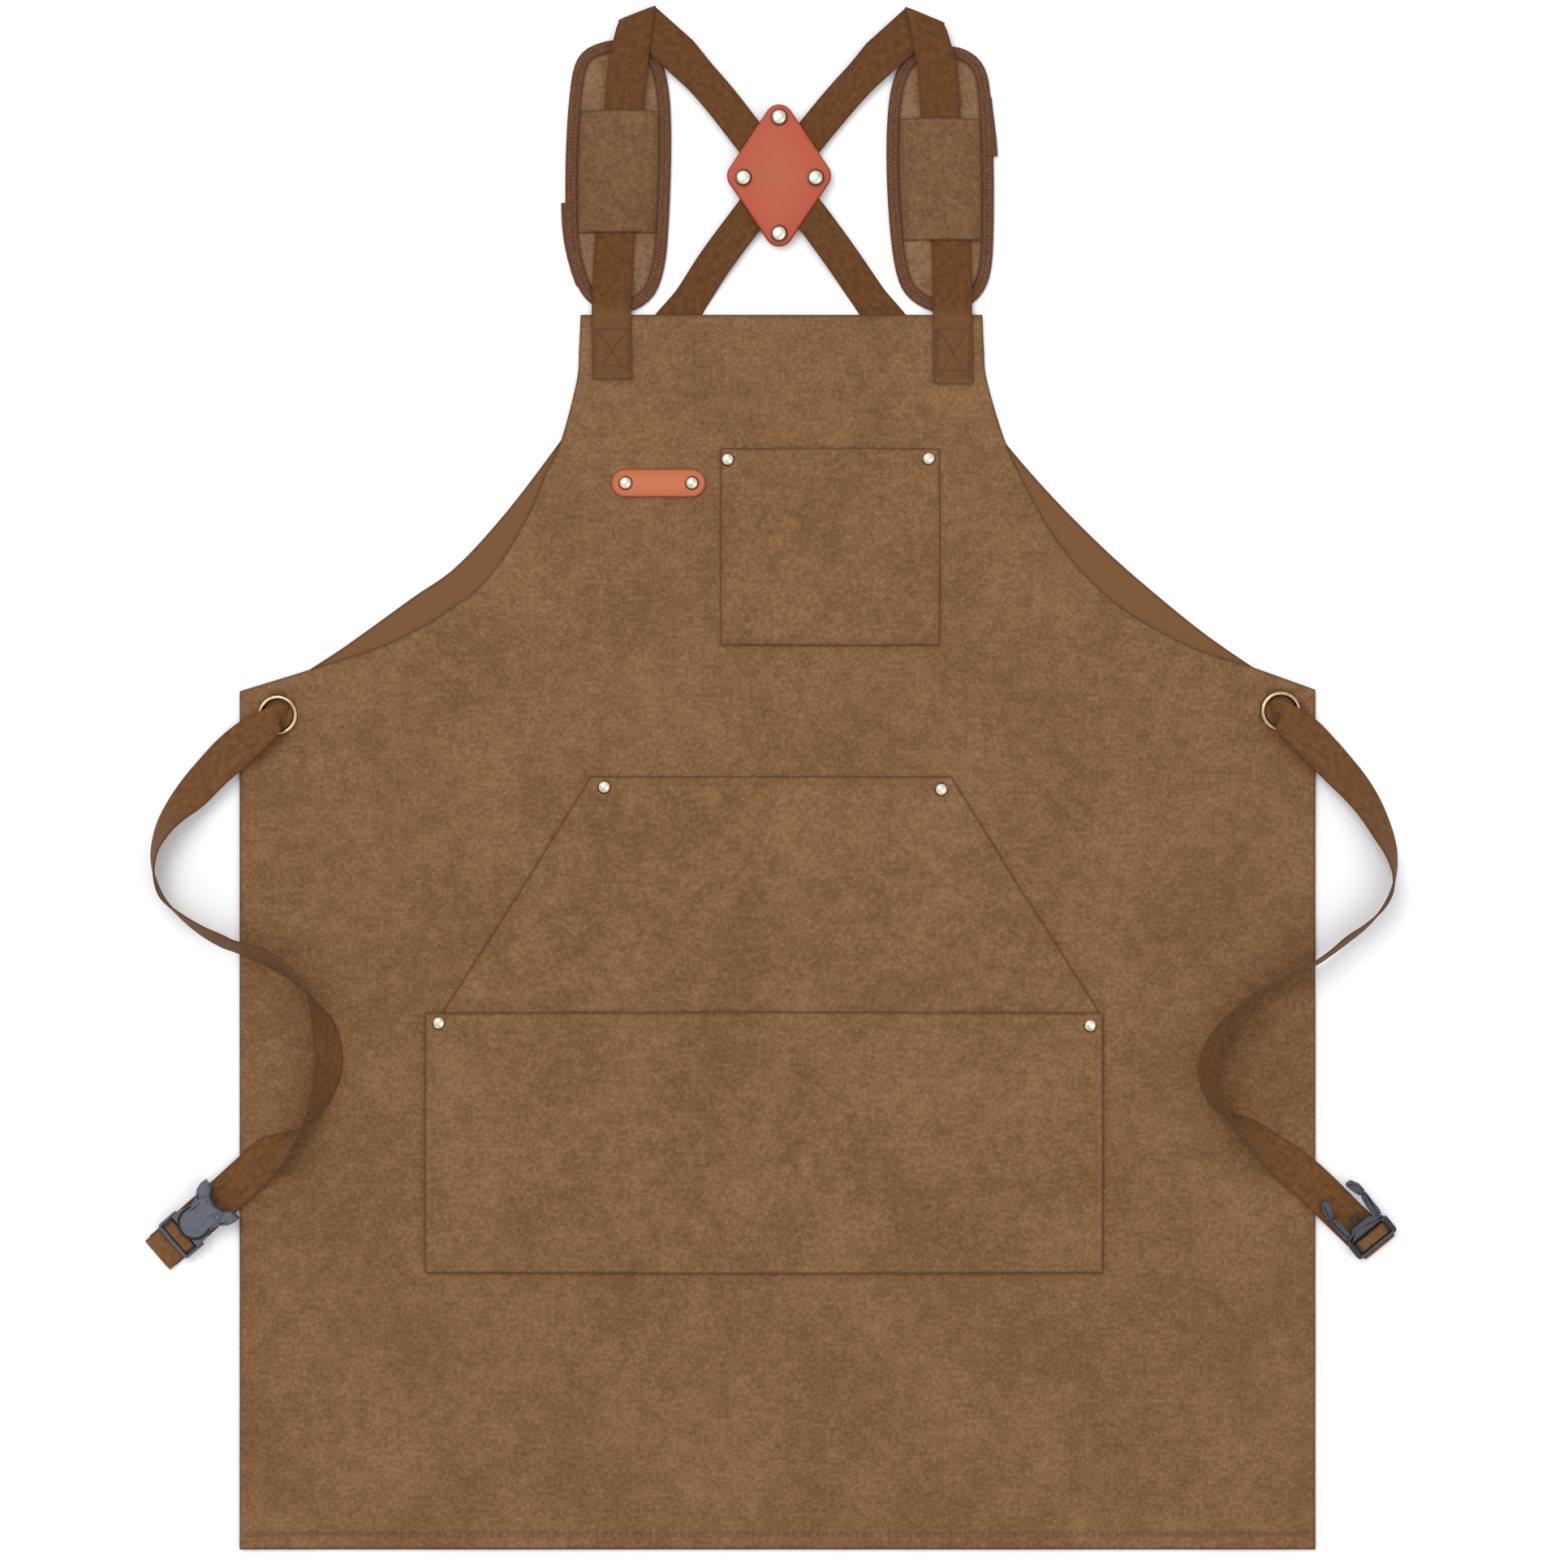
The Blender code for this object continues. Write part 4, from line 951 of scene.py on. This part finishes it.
rightTie = [(310.9, 47.1, .9, 314.4, 34.8, .9), (312.2, 49, 2.9, 317.6, 34.5, 3.4),
            (318, 49.5, 5.4, 317, 35.5, 9),
            (328.7, 44.2, 6.9, 313.8, 30.8, 12), (340.5, 36.5, 5.2, 324.6, 19, 12.5),
            (352.3, 24.7, 3.7, 335.9, 7.7, 11), (363.1, 12.3, 2.2, 347.2, -3.6, 12.5),
            (372.4, 1, .8, 358, -14.4, 14), (380.1, -11.3, .7, 367.2, -25.7, 16.5),
            (385.7, -24.1, .7, 374.9, -37.5, 18.8), (389.8, -36.5, .7, 380.6, -46.7, 21.5),
            (391.9, -47.8, .7, 384.2, -55.5, 23), (391.4, -60.1, .7, 385.7, -63.2, 24.8),
            (387.8, -71.9, .7, 384.9, -72.4, 25.5), (381.6, -83.2, .7, 379.6, -81.7, 25.6),
            (372.4, -94.5, .7, 369.6, -90.6, 25.4), (360.5, -104.3, 1, 357, -98.8, 25.5),
            (349.7, -111.8, 2.6, 346.6, -107.7, 27.2), (341.6, -117, 3.8, 338.9, -113.1, 28.6),
            (333.8, -120.2, 3.8, 332.4, -116.9, 28.8), (319.5, -126.3, 3.8, 318, -123.7, 28.8),
            (303.5, -135.1, 3.8, 302.2, -133, 28.8), (291.7, -143.8, 3.8, 292.8, -144.8, 28.8),
            (280.9, -153.6, 3.8, 284, -155.1, 28.6), (271.7, -165.4, 3.8, 277.9, -167.4, 28),
            (266.6, -179.2, 3.8, 275.5, -179.8, 27.2), (267.1, -192.6, 3.8, 276.3, -192.6, 27),
            (272.2, -203.9, 3.8, 279.1, -201.8, 27.7), (279.9, -210.1, 3.8, 284, -212.6, 28.3),
            (289.7, -212.6, 3.8, 290.7, -223.9, 26), (302, -216.7, 3.8, 299.4, -234.2, 21.3),
            (314.8, -224.4, 3.8, 305.6, -243.4, 16.5), (328.2, -232.7, 3.8, 311.2, -249.6, 8.6),
            (342.1, -243.4, 3.8, 325.6, -261.9, 5), (356.4, -256.8, 3.2, 339.5, -275.3, 4.4),
            (370.8, -271.2, 2.1, 353.9, -289.2, 2.6), (388.8, -286.2, .75, 367.8, -302.8, .75)]


def buckleFrame(crease, toward):
    # Place of a buckle: u runs from the crease to its free end, v across, w up off the strap.
    a, b = Vector((*crease[0], 0)), Vector((*crease[1], 0))
    across = (b - a).normalized()
    along = Vector((-across.y, across.x, 0))
    if along.dot(Vector((*toward, 0))) < 0:
        along, across = -along, -across
    axes = Matrix((along, -across, Vector((0, 0, 1)))).transposed()
    tilt = Matrix.Rotation(-math.radians(3.6), 3, "Y")
    middle = (a + b) / 2
    return Matrix.Translation(middle + Vector((0, 0, webbingThick))) @ (axes @ tilt).to_4x4()


buckles = {
    "left": {"place": buckleFrame(((-399.5, -291.5), (-383.0, -310.5)), (1, 1)), "start": 12.2,
             "body": "left_buckle", "mould": ["female_buckle"], "tie": leftTie, "exit": leftGrommet},
    "right": {"place": buckleFrame(((391.0, -287.5), (370.0, -304.5)), (-1, 1)), "start": 1.9,
              "body": "right_buckle", "mould": ["male_buckle"], "tie": rightTie, "exit": rightGrommet},
}


def waistTies():
    # The free ends of the straps: bunched through the grommet, then standing on edge to the buckle.
    for side, buckle in buckles.items():
        low = smooth([Vector(row[:3]) for row in buckle["tie"]], 6)
        high = smooth([Vector(row[3:]) for row in buckle["tie"]], 6)
        pairs = list(zip(low, high))

        def gathers(travelled, t):
            root = eased(travelled, 1, 6) * math.exp(-travelled / 16)
            return (1.5 * root * math.sin(t * math.tau * 2.2 + 0.8)
                    + 0.12 * math.sin(travelled / 8 + 4 * t))

        made = ribbonMesh(side + "_waist_tie", pairs, webbingThick, webbing["tie"], 15, gathers)
        attach(made, side + "_tie", side + "_tie", slot="webbing")
        [webbingFold(side, buckle)] + buckleMouldings(side, buckle)


def webbingFold(side, buckle):
    # The webbing's end: round the fold, back over itself and threaded over the buckle's bar.
    low, bend, slotIn, barWide, barHigh = 1.0, 1.05, 2.0, 5.4, 5.2
    rise = buckle["start"] + slotIn + bend
    fall = rise + barWide + 2 * bend
    high = barHigh + clearance + webbingThick / 2
    quarter = (0, 0.52, 1.05, 1.57)
    path = [(4.5, -0.62), (2.6, -0.66), (0.9, -0.68)]
    path += [(0.2 - 0.84 * math.sin(t), 0.16 - 0.84 * math.cos(t)) for t in (0.4, 0.9, 1.57, 2.2, 2.8)]
    path += [(0.9, low), (rise * 0.3, low), (rise * 0.6, low), (rise - bend, low)]
    path += [(rise - bend + bend * math.sin(t), low + bend - bend * math.cos(t)) for t in quarter[1:]]
    path += [(rise + bend - bend * math.cos(t), high - bend + bend * math.sin(t)) for t in quarter]
    path += [(rise + 2.6, high + 0.05), (fall - 2.6, high + 0.05)]
    path += [(fall - bend + bend * math.sin(t), high - bend + bend * math.cos(t)) for t in quarter]
    path += [(fall, low + 1.6)]
    half = webbingWidth / 2 - 0.5
    matrix = buckle["place"]
    pairs = []
    for u, w in path:
        inner = half - 0.4 * eased(u, 2, 6)
        pairs.append((matrix @ Vector((u, inner, w)), matrix @ Vector((u, -inner, w))))
    made = ribbonMesh(side + "_webbing_fold", pairs, 1.35, webbing["fold"], 9)
    inward = matrix.inverted()
    crease = made.data.attributes.new("crease", "FLOAT", "POINT")
    for spot, vertex in zip(crease.data, made.data.vertices):
        at = inward @ (vertex.co / mm)
        if at.x > buckle["start"]:  # painted shade where the webbing turns down into the slot
            spot.value = 0.95 * eased(high + 0.7 - at.z, 0.02, 0.3)
    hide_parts(side + "_webbing_tab")
    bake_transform(made)
    return made


def buckleMouldings(side, buckle):
    # The moulded halves, with their edges eased, from the frame's own solids.
    made = []
    nodes = [(name, buckle["body"]) for name in buckle["mould"]]
    finish = plastic["socket"] if side == "left" else plastic["plug"]
    if side == "right":
        nodes += [("left_latch_arm", "left_arm"), ("right_latch_arm", "right_arm")]
    for node, body in nodes:
        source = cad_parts[node]
        mesh = source.data.copy()
        mesh.materials.clear()
        mesh.materials.append(finish)
        piece = intoScene(bpy.data.objects.new(node + "_moulding", mesh))
        piece.matrix_world = source.matrix_world.copy()
        ease = piece.modifiers.new("eased_edges", "BEVEL")
        ease.width, ease.segments, ease.limit_method = 0.00055, 3, "ANGLE"
        ease.angle_limit = math.radians(35)
        ease.harden_normals = False
        mesh.shade_smooth()
        mesh.set_sharp_from_angle(angle=math.radians(40))
        made.append(attach(piece, body, node, slot="plastic"))
    return made + (socketDetails(buckle) if side == "left" else plugDetails(buckle))


def localPiece(name, buckle, points, faces, material, body=None):
    made = newPiece(name, [buckle["place"] @ Vector(point) for point in points], faces, material)
    return attach(made, body or buckle["body"], slot="plastic")


def crowned(name, buckle, outline, low, high, edge, finish="face", side=1, body=None):
    # A moulded boss on an outline in the buckle's own axes, rounded over to a flat crown.
    # the default face finish and the wing finish are lighter nylons: painted highlight on the raised tops
    curve = [(0, 1), (0.12, 0.55), (0.4, 0.2), (0.85, 0.04), (1.4, 0)]
    rings = [(0.0, low)] + [(inward * edge, high - drop * edge) for inward, drop in curve]
    loop = rounded([(buckle["start"] + u, side * v) for u, v in outline], 0.5, 2)
    if signedArea(loop) < 0:
        loop = loop[::-1]
    points = []
    for distance, z in rings:
        points += [(p[0], p[1], z) for p in (insetLoop(loop, distance) if distance else loop)]
    return localPiece(name, buckle, points, tubeFaces(len(rings), len(loop)), plastic[finish], body)


def arc(centre, radius, first, last, count):
    turns = [math.radians(first + (last - first) * i / count) for i in range(count + 1)]
    return [(centre + radius * math.cos(turn), radius * math.sin(turn)) for turn in turns]


def socketDetails(buckle):
    # Outlines are counted from the edge where the buckle starts.
    nose = arc(20.5, 9.2, 90, 270, 14)
    nose += [(27, -8.5), (33, -9.4), (37.6, -7.2), (36.2, 0), (37.6, 7.2), (33, 9.4), (27, 8.5)]
    ridge = arc(19.5, 4.8, 90, 270, 8)
    ridge += [(28, -3.2), (35.4, -4.6), (35, 0), (35.4, 4.6), (28, 3.2)]
    made = [crowned("socket_nose", buckle, nose, 8.9, 10.5, 1.3),
            crowned("socket_nose_ridge", buckle, ridge, 10.2, 11.1, 0.7)]
    # a thin near-black band round the nose's end: a painted shadow for the gap under the nose's lip
    middle = buckle["start"] + 20.5
    outer, inner = arc(middle, 10.9, 60, 300, 24), arc(middle, 9.0, 60, 300, 24)
    points = []
    for (u, v), (p, q) in zip(outer, inner):
        points += [(u, v, 9.1), (u, v, 9.32), (p, q, 9.32), (p, q, 9.1)]
    made.append(localPiece("socket_nose_painted_shadow", buckle, points, tubeFaces(len(outer), 4), plastic["plug"]))
    horn = [(30.5, 10.4), (34.5, 13.2), (38.5, 15.4), (42.2, 15.7), (42.5, 11), (39.6, 8.2), (38.2, 7.4),
            (34, 10)]
    rail = [(0.5, 12.6), (0.9, 13.6), (11.6, 13.6), (11.6, 12.6)]
    for side, word in ((1, "left"), (-1, "right")):
        made.append(crowned(word + "_socket_horn", buckle, horn, 8.9, 10.0, 0.9, side=side))
        made.append(crowned(word + "_socket_rail", buckle, rail, 5.0, 5.8, 0.35, side=side))
    return made


def plugDetails(buckle):
    shoulder = [(11.9, -14.6), (14.3, -13.3), (18.8, -6.2), (18.8, 6.2), (14.3, 13.3), (11.9, 14.6)]
    bar = [(0.3, -13.6), (1.7, -13.6), (1.7, 13.6), (0.3, 13.6)]
    spring = [(14.6, 11.2), (18, 9.3), (24, 9.3), (30.6, 10.4), (31.6, 14.9), (24, 14.6), (18, 14.7),
              (15.2, 14.2)]
    grip = [(32.4, 10.3), (35.5, 9.0), (42, 7.3), (44, 8.5), (43.6, 12), (38.5, 14.8), (33.2, 15)]
    made = [crowned("plug_shoulder", buckle, shoulder, 5.0, 6.9, 1.3, "wing"),
            crowned("plug_outer_bar", buckle, bar, 5.0, 5.9, 0.4, "wing")]
    for side, arm in ((1, "left_arm"), (-1, "right_arm")):
        made.append(crowned(arm + "_spring", buckle, spring, 2.7, 6.3, 1.2, "wing", side, arm))
        made.append(crowned(arm + "_grip", buckle, grip, 2.7, 6.8, 1.2, "wing", side, arm))
    return made


# Shoulder pads.
padShapes = {
    "left": {
        "outline": [(-105.5, 466.5), (-120, 461.5), (-128, 451), (-131.5, 430), (-133.5, 400), (-134, 370),
                    (-133, 338.5), (-127, 313), (-118, 300.5), (-104, 295), (-90, 296.5), (-78, 306),
                    (-72, 322.5), (-69.5, 343.5), (-67.8, 379.5), (-67.5, 410.5), (-69, 435), (-74, 454),
                    (-84, 463.5), (-95, 466.5)],
        "sleeve": (344.5, 421.5), "lap": (365.5, 312)},
    "right": {
        "outline": [(107, 463), (119, 460.5), (128.5, 453), (133.5, 440), (135.5, 415), (136.5, 385),
                    (136.5, 350), (135, 323), (130, 308), (120, 298.5), (106, 295), (93, 297.5), (81, 306.5),
                    (75, 321), (71.5, 345), (69.5, 375), (69.2, 405), (71, 430), (75.5, 447), (84, 458.5),
                    (95, 462.5)],
        "sleeve": (339.5, 416.5), "lap": (391.5, 432)},
}


def closedSmooth(points, steps):
    wrapped = [points[-1]] + list(points) + [points[0], points[1]]
    rows = smooth([(*p, 0) for p in wrapped], steps)
    return [(p.x, p.y) for p in rows[steps:-2 * steps]][:len(points) * steps]


def shoulderPads():
    for side, shape in padShapes.items():
        body = side + "_pad"
        outer = closedSmooth(shape["outline"], 3)
        bindingEdge = [tuple(p) for p in insetLoop(outer, 7.2)]
        border = segmentsOf([(bindingEdge, True)])
        bottom, top = min(p[1] for p in outer), max(p[1] for p in outer)
        rise = flatSmooth(straps[side]["rise"], 12)

        def coreTop(x, y, border=border, top=top, bottom=bottom):
            full = eased(top - y, 37, 45, 3.0, 5.7) - eased(y - bottom, 10, 30, 2.7, 0)
            reach = distances([(x, y)], border)[0]
            quilt = 0.12 * noise.noise(Vector((x / 14, y / 14, 4)))
            return min(full, 2.6 + (full - 2.6) * eased(reach, 0, 9) + quilt)

        core = sheetMesh(side + "_pad_body", bindingEdge, coreTop, lambda x, y, z: z - 0.2, 4.0,
                         canvas["core"], rings=(0.6, 1.8, 4), edgeShadeWidth=1.6)
        attach(core, body, side + "_pad_core", slot="canvas")
        around = [Vector(p) for p in insetLoop(outer, 3.7)]
        binding = tapeSweep(side + "_pad_edge_binding", around + around[:1], lambda t: 3.95, lambda t: 1.5)
        attach(binding, body, side + "_pad_binding", slot="binding")
        first, last = shape["lap"]
        lapPath = sorted((p for p in evenly(insetLoop(outer, 3.0), 2.0, True)
                          if min(first, last) < p[1] < max(first, last) and abs(p[0]) > 110),
                         key=lambda p: abs(p[1] - first))
        outward = -1 if side == "left" else 1
        lapPath = [Vector((p[0] + outward * eased(i, 0, len(lapPath), 1.7, 0.2), p[1]))
                   for i, p in enumerate(lapPath)]
        lap = tapeSweep(side + "_pad_binding_lap", lapPath, lambda t: 4.2 - 0.5 * t,
                        lambda t: 1.75 - 0.5 * t)
        attach(lap, body, slot="binding")
        for reach in (5.6, 2.2):
            rim = insetLoop(outer, reach)
            sewn = stitches("%s_binding_stitching_%d" % (side, reach), [rim + rim[:1]], lambda x, y: 3.08,
                            thread["binding"], pitch=2.4, length=2.2, width=0.7, zigzag=1.2)
            attach(sewn, body, slot="binding")
        low, high = shape["sleeve"]
        rows = [low + (high - low) * i / 8 for i in range(9)]
        outline = [(crossingsAt(bindingEdge, y)[0] + 0.2, y) for y in rows]
        outline += [(crossingsAt(bindingEdge, y)[-1] - 0.2, y) for y in reversed(rows)]

        def sleeveTop(x, y, rise=rise, coreTop=coreTop, border=border):
            centre = min(rise, key=lambda p: abs(p[1] - y))[0]
            arch = eased(abs(x - centre), 12.6, 17.5, 9.2, 6.6)
            reach = distances([(x, y)], border)[0]
            sag = 0.3 * noise.noise(Vector((x / 17, y / 21, 9)))
            rest = coreTop(x, y) + 0.3 + 0.8 * eased(reach, 0, 4)
            return max(rest, min(arch, rest + 3.2 * eased(reach, 1, 7)) + sag)

        cover = sheetMesh(side + "_pad_cover", outline, sleeveTop, 0.8, 2.6, canvas["pad"],
                          rings=(0.5, 1.5, 3), edgeShadeWidth=1.2)
        attach(cover, body, side + "_pad_sleeve", slot="canvas")
        ends = [[(crossingsAt(bindingEdge, y)[0] + 1, y), (crossingsAt(bindingEdge, y)[-1] - 1, y)]
                for y in (low + 3, high - 3)]
        rows = stitches(side + "_cover_stitching", ends, lambda x, y, f=sleeveTop: f(x, y) + 0.1,
                        thread["body"])
        attach(rows, body, slot="canvas")


def tapeSweep(name, path, halfWide, halfTall):
    # Folded tape along a flat path: a soft oval section that sits on the floor.
    closed = (path[0] - path[-1]).length < 0.01
    path = path[:-1] if closed else path
    count, sides = len(path), 14
    points, maps = [], []
    travelled = 0.0
    for i, here in enumerate(path):
        after = path[(i + 1) % count] if closed else path[min(i + 1, count - 1)]
        before = path[i - 1] if closed or i else here
        run = (after - before).normalized()
        travelled += (here - path[i - 1]).length if i else 0
        t = i / (count - 1)
        for j in range(sides):
            turn = math.tau * j / sides
            across, up = math.cos(turn), math.sin(turn)
            wide = math.copysign(abs(across) ** 0.7, across) * halfWide(t)
            tall = math.copysign(abs(up) ** 0.65, up) * halfTall(t)
            points.append((here.x + run.y * wide, here.y - run.x * wide, 0.12 + halfTall(t) + tall))
            maps.append((travelled * mm, across * 0.0095))
    faces = tubeFaces(count, sides)
    if closed:
        first = (count - 1) * sides
        faces = faces[:-2] + [(first + j, first + (j + 1) % sides, (j + 1) % sides, j) for j in range(sides)]
    return newPiece(name, points, faces, webbing["binding"], maps=maps)


def layFloor():
    mesh = bpy.data.meshes.new("floor")
    half, under = 4.0, -0.0003
    corners = ((-half, -half), (half, -half), (half, half), (-half, half))
    mesh.from_pydata([(x, y, under) for x, y in corners], [], [(0, 1, 2, 3)])
    mesh.materials.append(floorMaterial())
    intoScene(bpy.data.objects.new("floor", mesh))


placeCamera()
lightStudio()
groups = {"cloth": clothGroup(), "rib": ribGroup(), "grain": grainGroup()}
# the fourth tone in each set is the painted edge shade
bodyTones = ((0.146, 0.07, 0.0275), (0.193, 0.0968, 0.0408), (0.25, 0.135, 0.063), (0.085, 0.037, 0.014))
# the pad's core: a lighter copy of the canvas tones, painted light making up for the shade it lies in
litCoreTones = ((0.162, 0.083, 0.039), (0.212, 0.114, 0.056), (0.262, 0.15, 0.08), (0.09, 0.042, 0.019))
sleeveTones = ((0.13, 0.062, 0.026), (0.172, 0.0855, 0.038), (0.22, 0.116, 0.055), (0.075, 0.032, 0.013))
canvasTones = {"panel": bodyTones, "pocket": bodyTones, "core": litCoreTones, "pad": sleeveTones}
canvas = {name: clothMaterial("canvas_" + name, *tones) for name, tones in canvasTones.items()}
webbing = {
    "strap": webbingMaterial("webbing_strap", (0.088, 0.033, 0.009), (0.158, 0.064, 0.019),
                             (0.078, 0.029, 0.009), (0.182, 0.084, 0.034)),
    "tie": webbingMaterial("webbing_tie", (0.106, 0.043, 0.012), (0.19, 0.082, 0.026),
                           (0.092, 0.036, 0.011)),
    # the fold over the buckle bar: a lighter copy of the tie webbing, painted light
    "fold": webbingMaterial("webbing_fold", (0.13, 0.056, 0.019), (0.235, 0.108, 0.04),
                            (0.115, 0.048, 0.017)),
    "binding": webbingMaterial("binding_tape", (0.092, 0.036, 0.016), (0.16, 0.07, 0.033),
                               (0.092, 0.036, 0.016)),
}
leather = {"tag": leatherMaterial("leather_tag_hide", (0.43, 0.094, 0.028), (0.495, 0.142, 0.053),
                                  (0.25, 0.05, 0.018)),
           "cross": leatherMaterial("leather_cross_hide", (0.415, 0.056, 0.019), (0.41, 0.094, 0.041),
                                    (0.3, 0.035, 0.014))}
brass = {"cap": brassMaterial("brass_cap", (0.91, 0.83, 0.65), (0.055, 0.038, 0.023)),
         "grommet": brassMaterial("brass_ring", (0.62, 0.47, 0.27), (0.12, 0.078, 0.036))}
# face and wing are lighter copies of the slate and black nylons for the raised bosses: painted highlight
plastic = {"socket": plasticMaterial("slate_nylon", (0.062, 0.066, 0.079), (0.135, 0.14, 0.16)),
           "plug": plasticMaterial("black_nylon", (0.01, 0.011, 0.015), (0.045, 0.048, 0.058)),
           "wing": plasticMaterial("black_nylon_painted_highlight", (0.058, 0.062, 0.076), (0.13, 0.135, 0.155)),
           "face": plasticMaterial("slate_nylon_painted_highlight", (0.108, 0.113, 0.132), (0.21, 0.215, 0.24))}
thread = {"body": threadMaterial("thread_body", (0.15, 0.07, 0.028), (0.31, 0.165, 0.08)),
          "patch": threadMaterial("thread_patch", (0.03, 0.012, 0.005), (0.14, 0.065, 0.028)),
          "binding": threadMaterial("thread_binding", (0.07, 0.027, 0.013), (0.34, 0.16, 0.085))}

layFloor()
waistTies()
print("ties and buckles")
apronPanel()
print("panel")
pocketPieces()
print("pockets")
stitchWork()
print("stitches")
rivetCaps()
grommets()
leatherPieces()
print("rivets, grommets, leather")
shoulderStraps()
shoulderPads()
print("straps and pads")
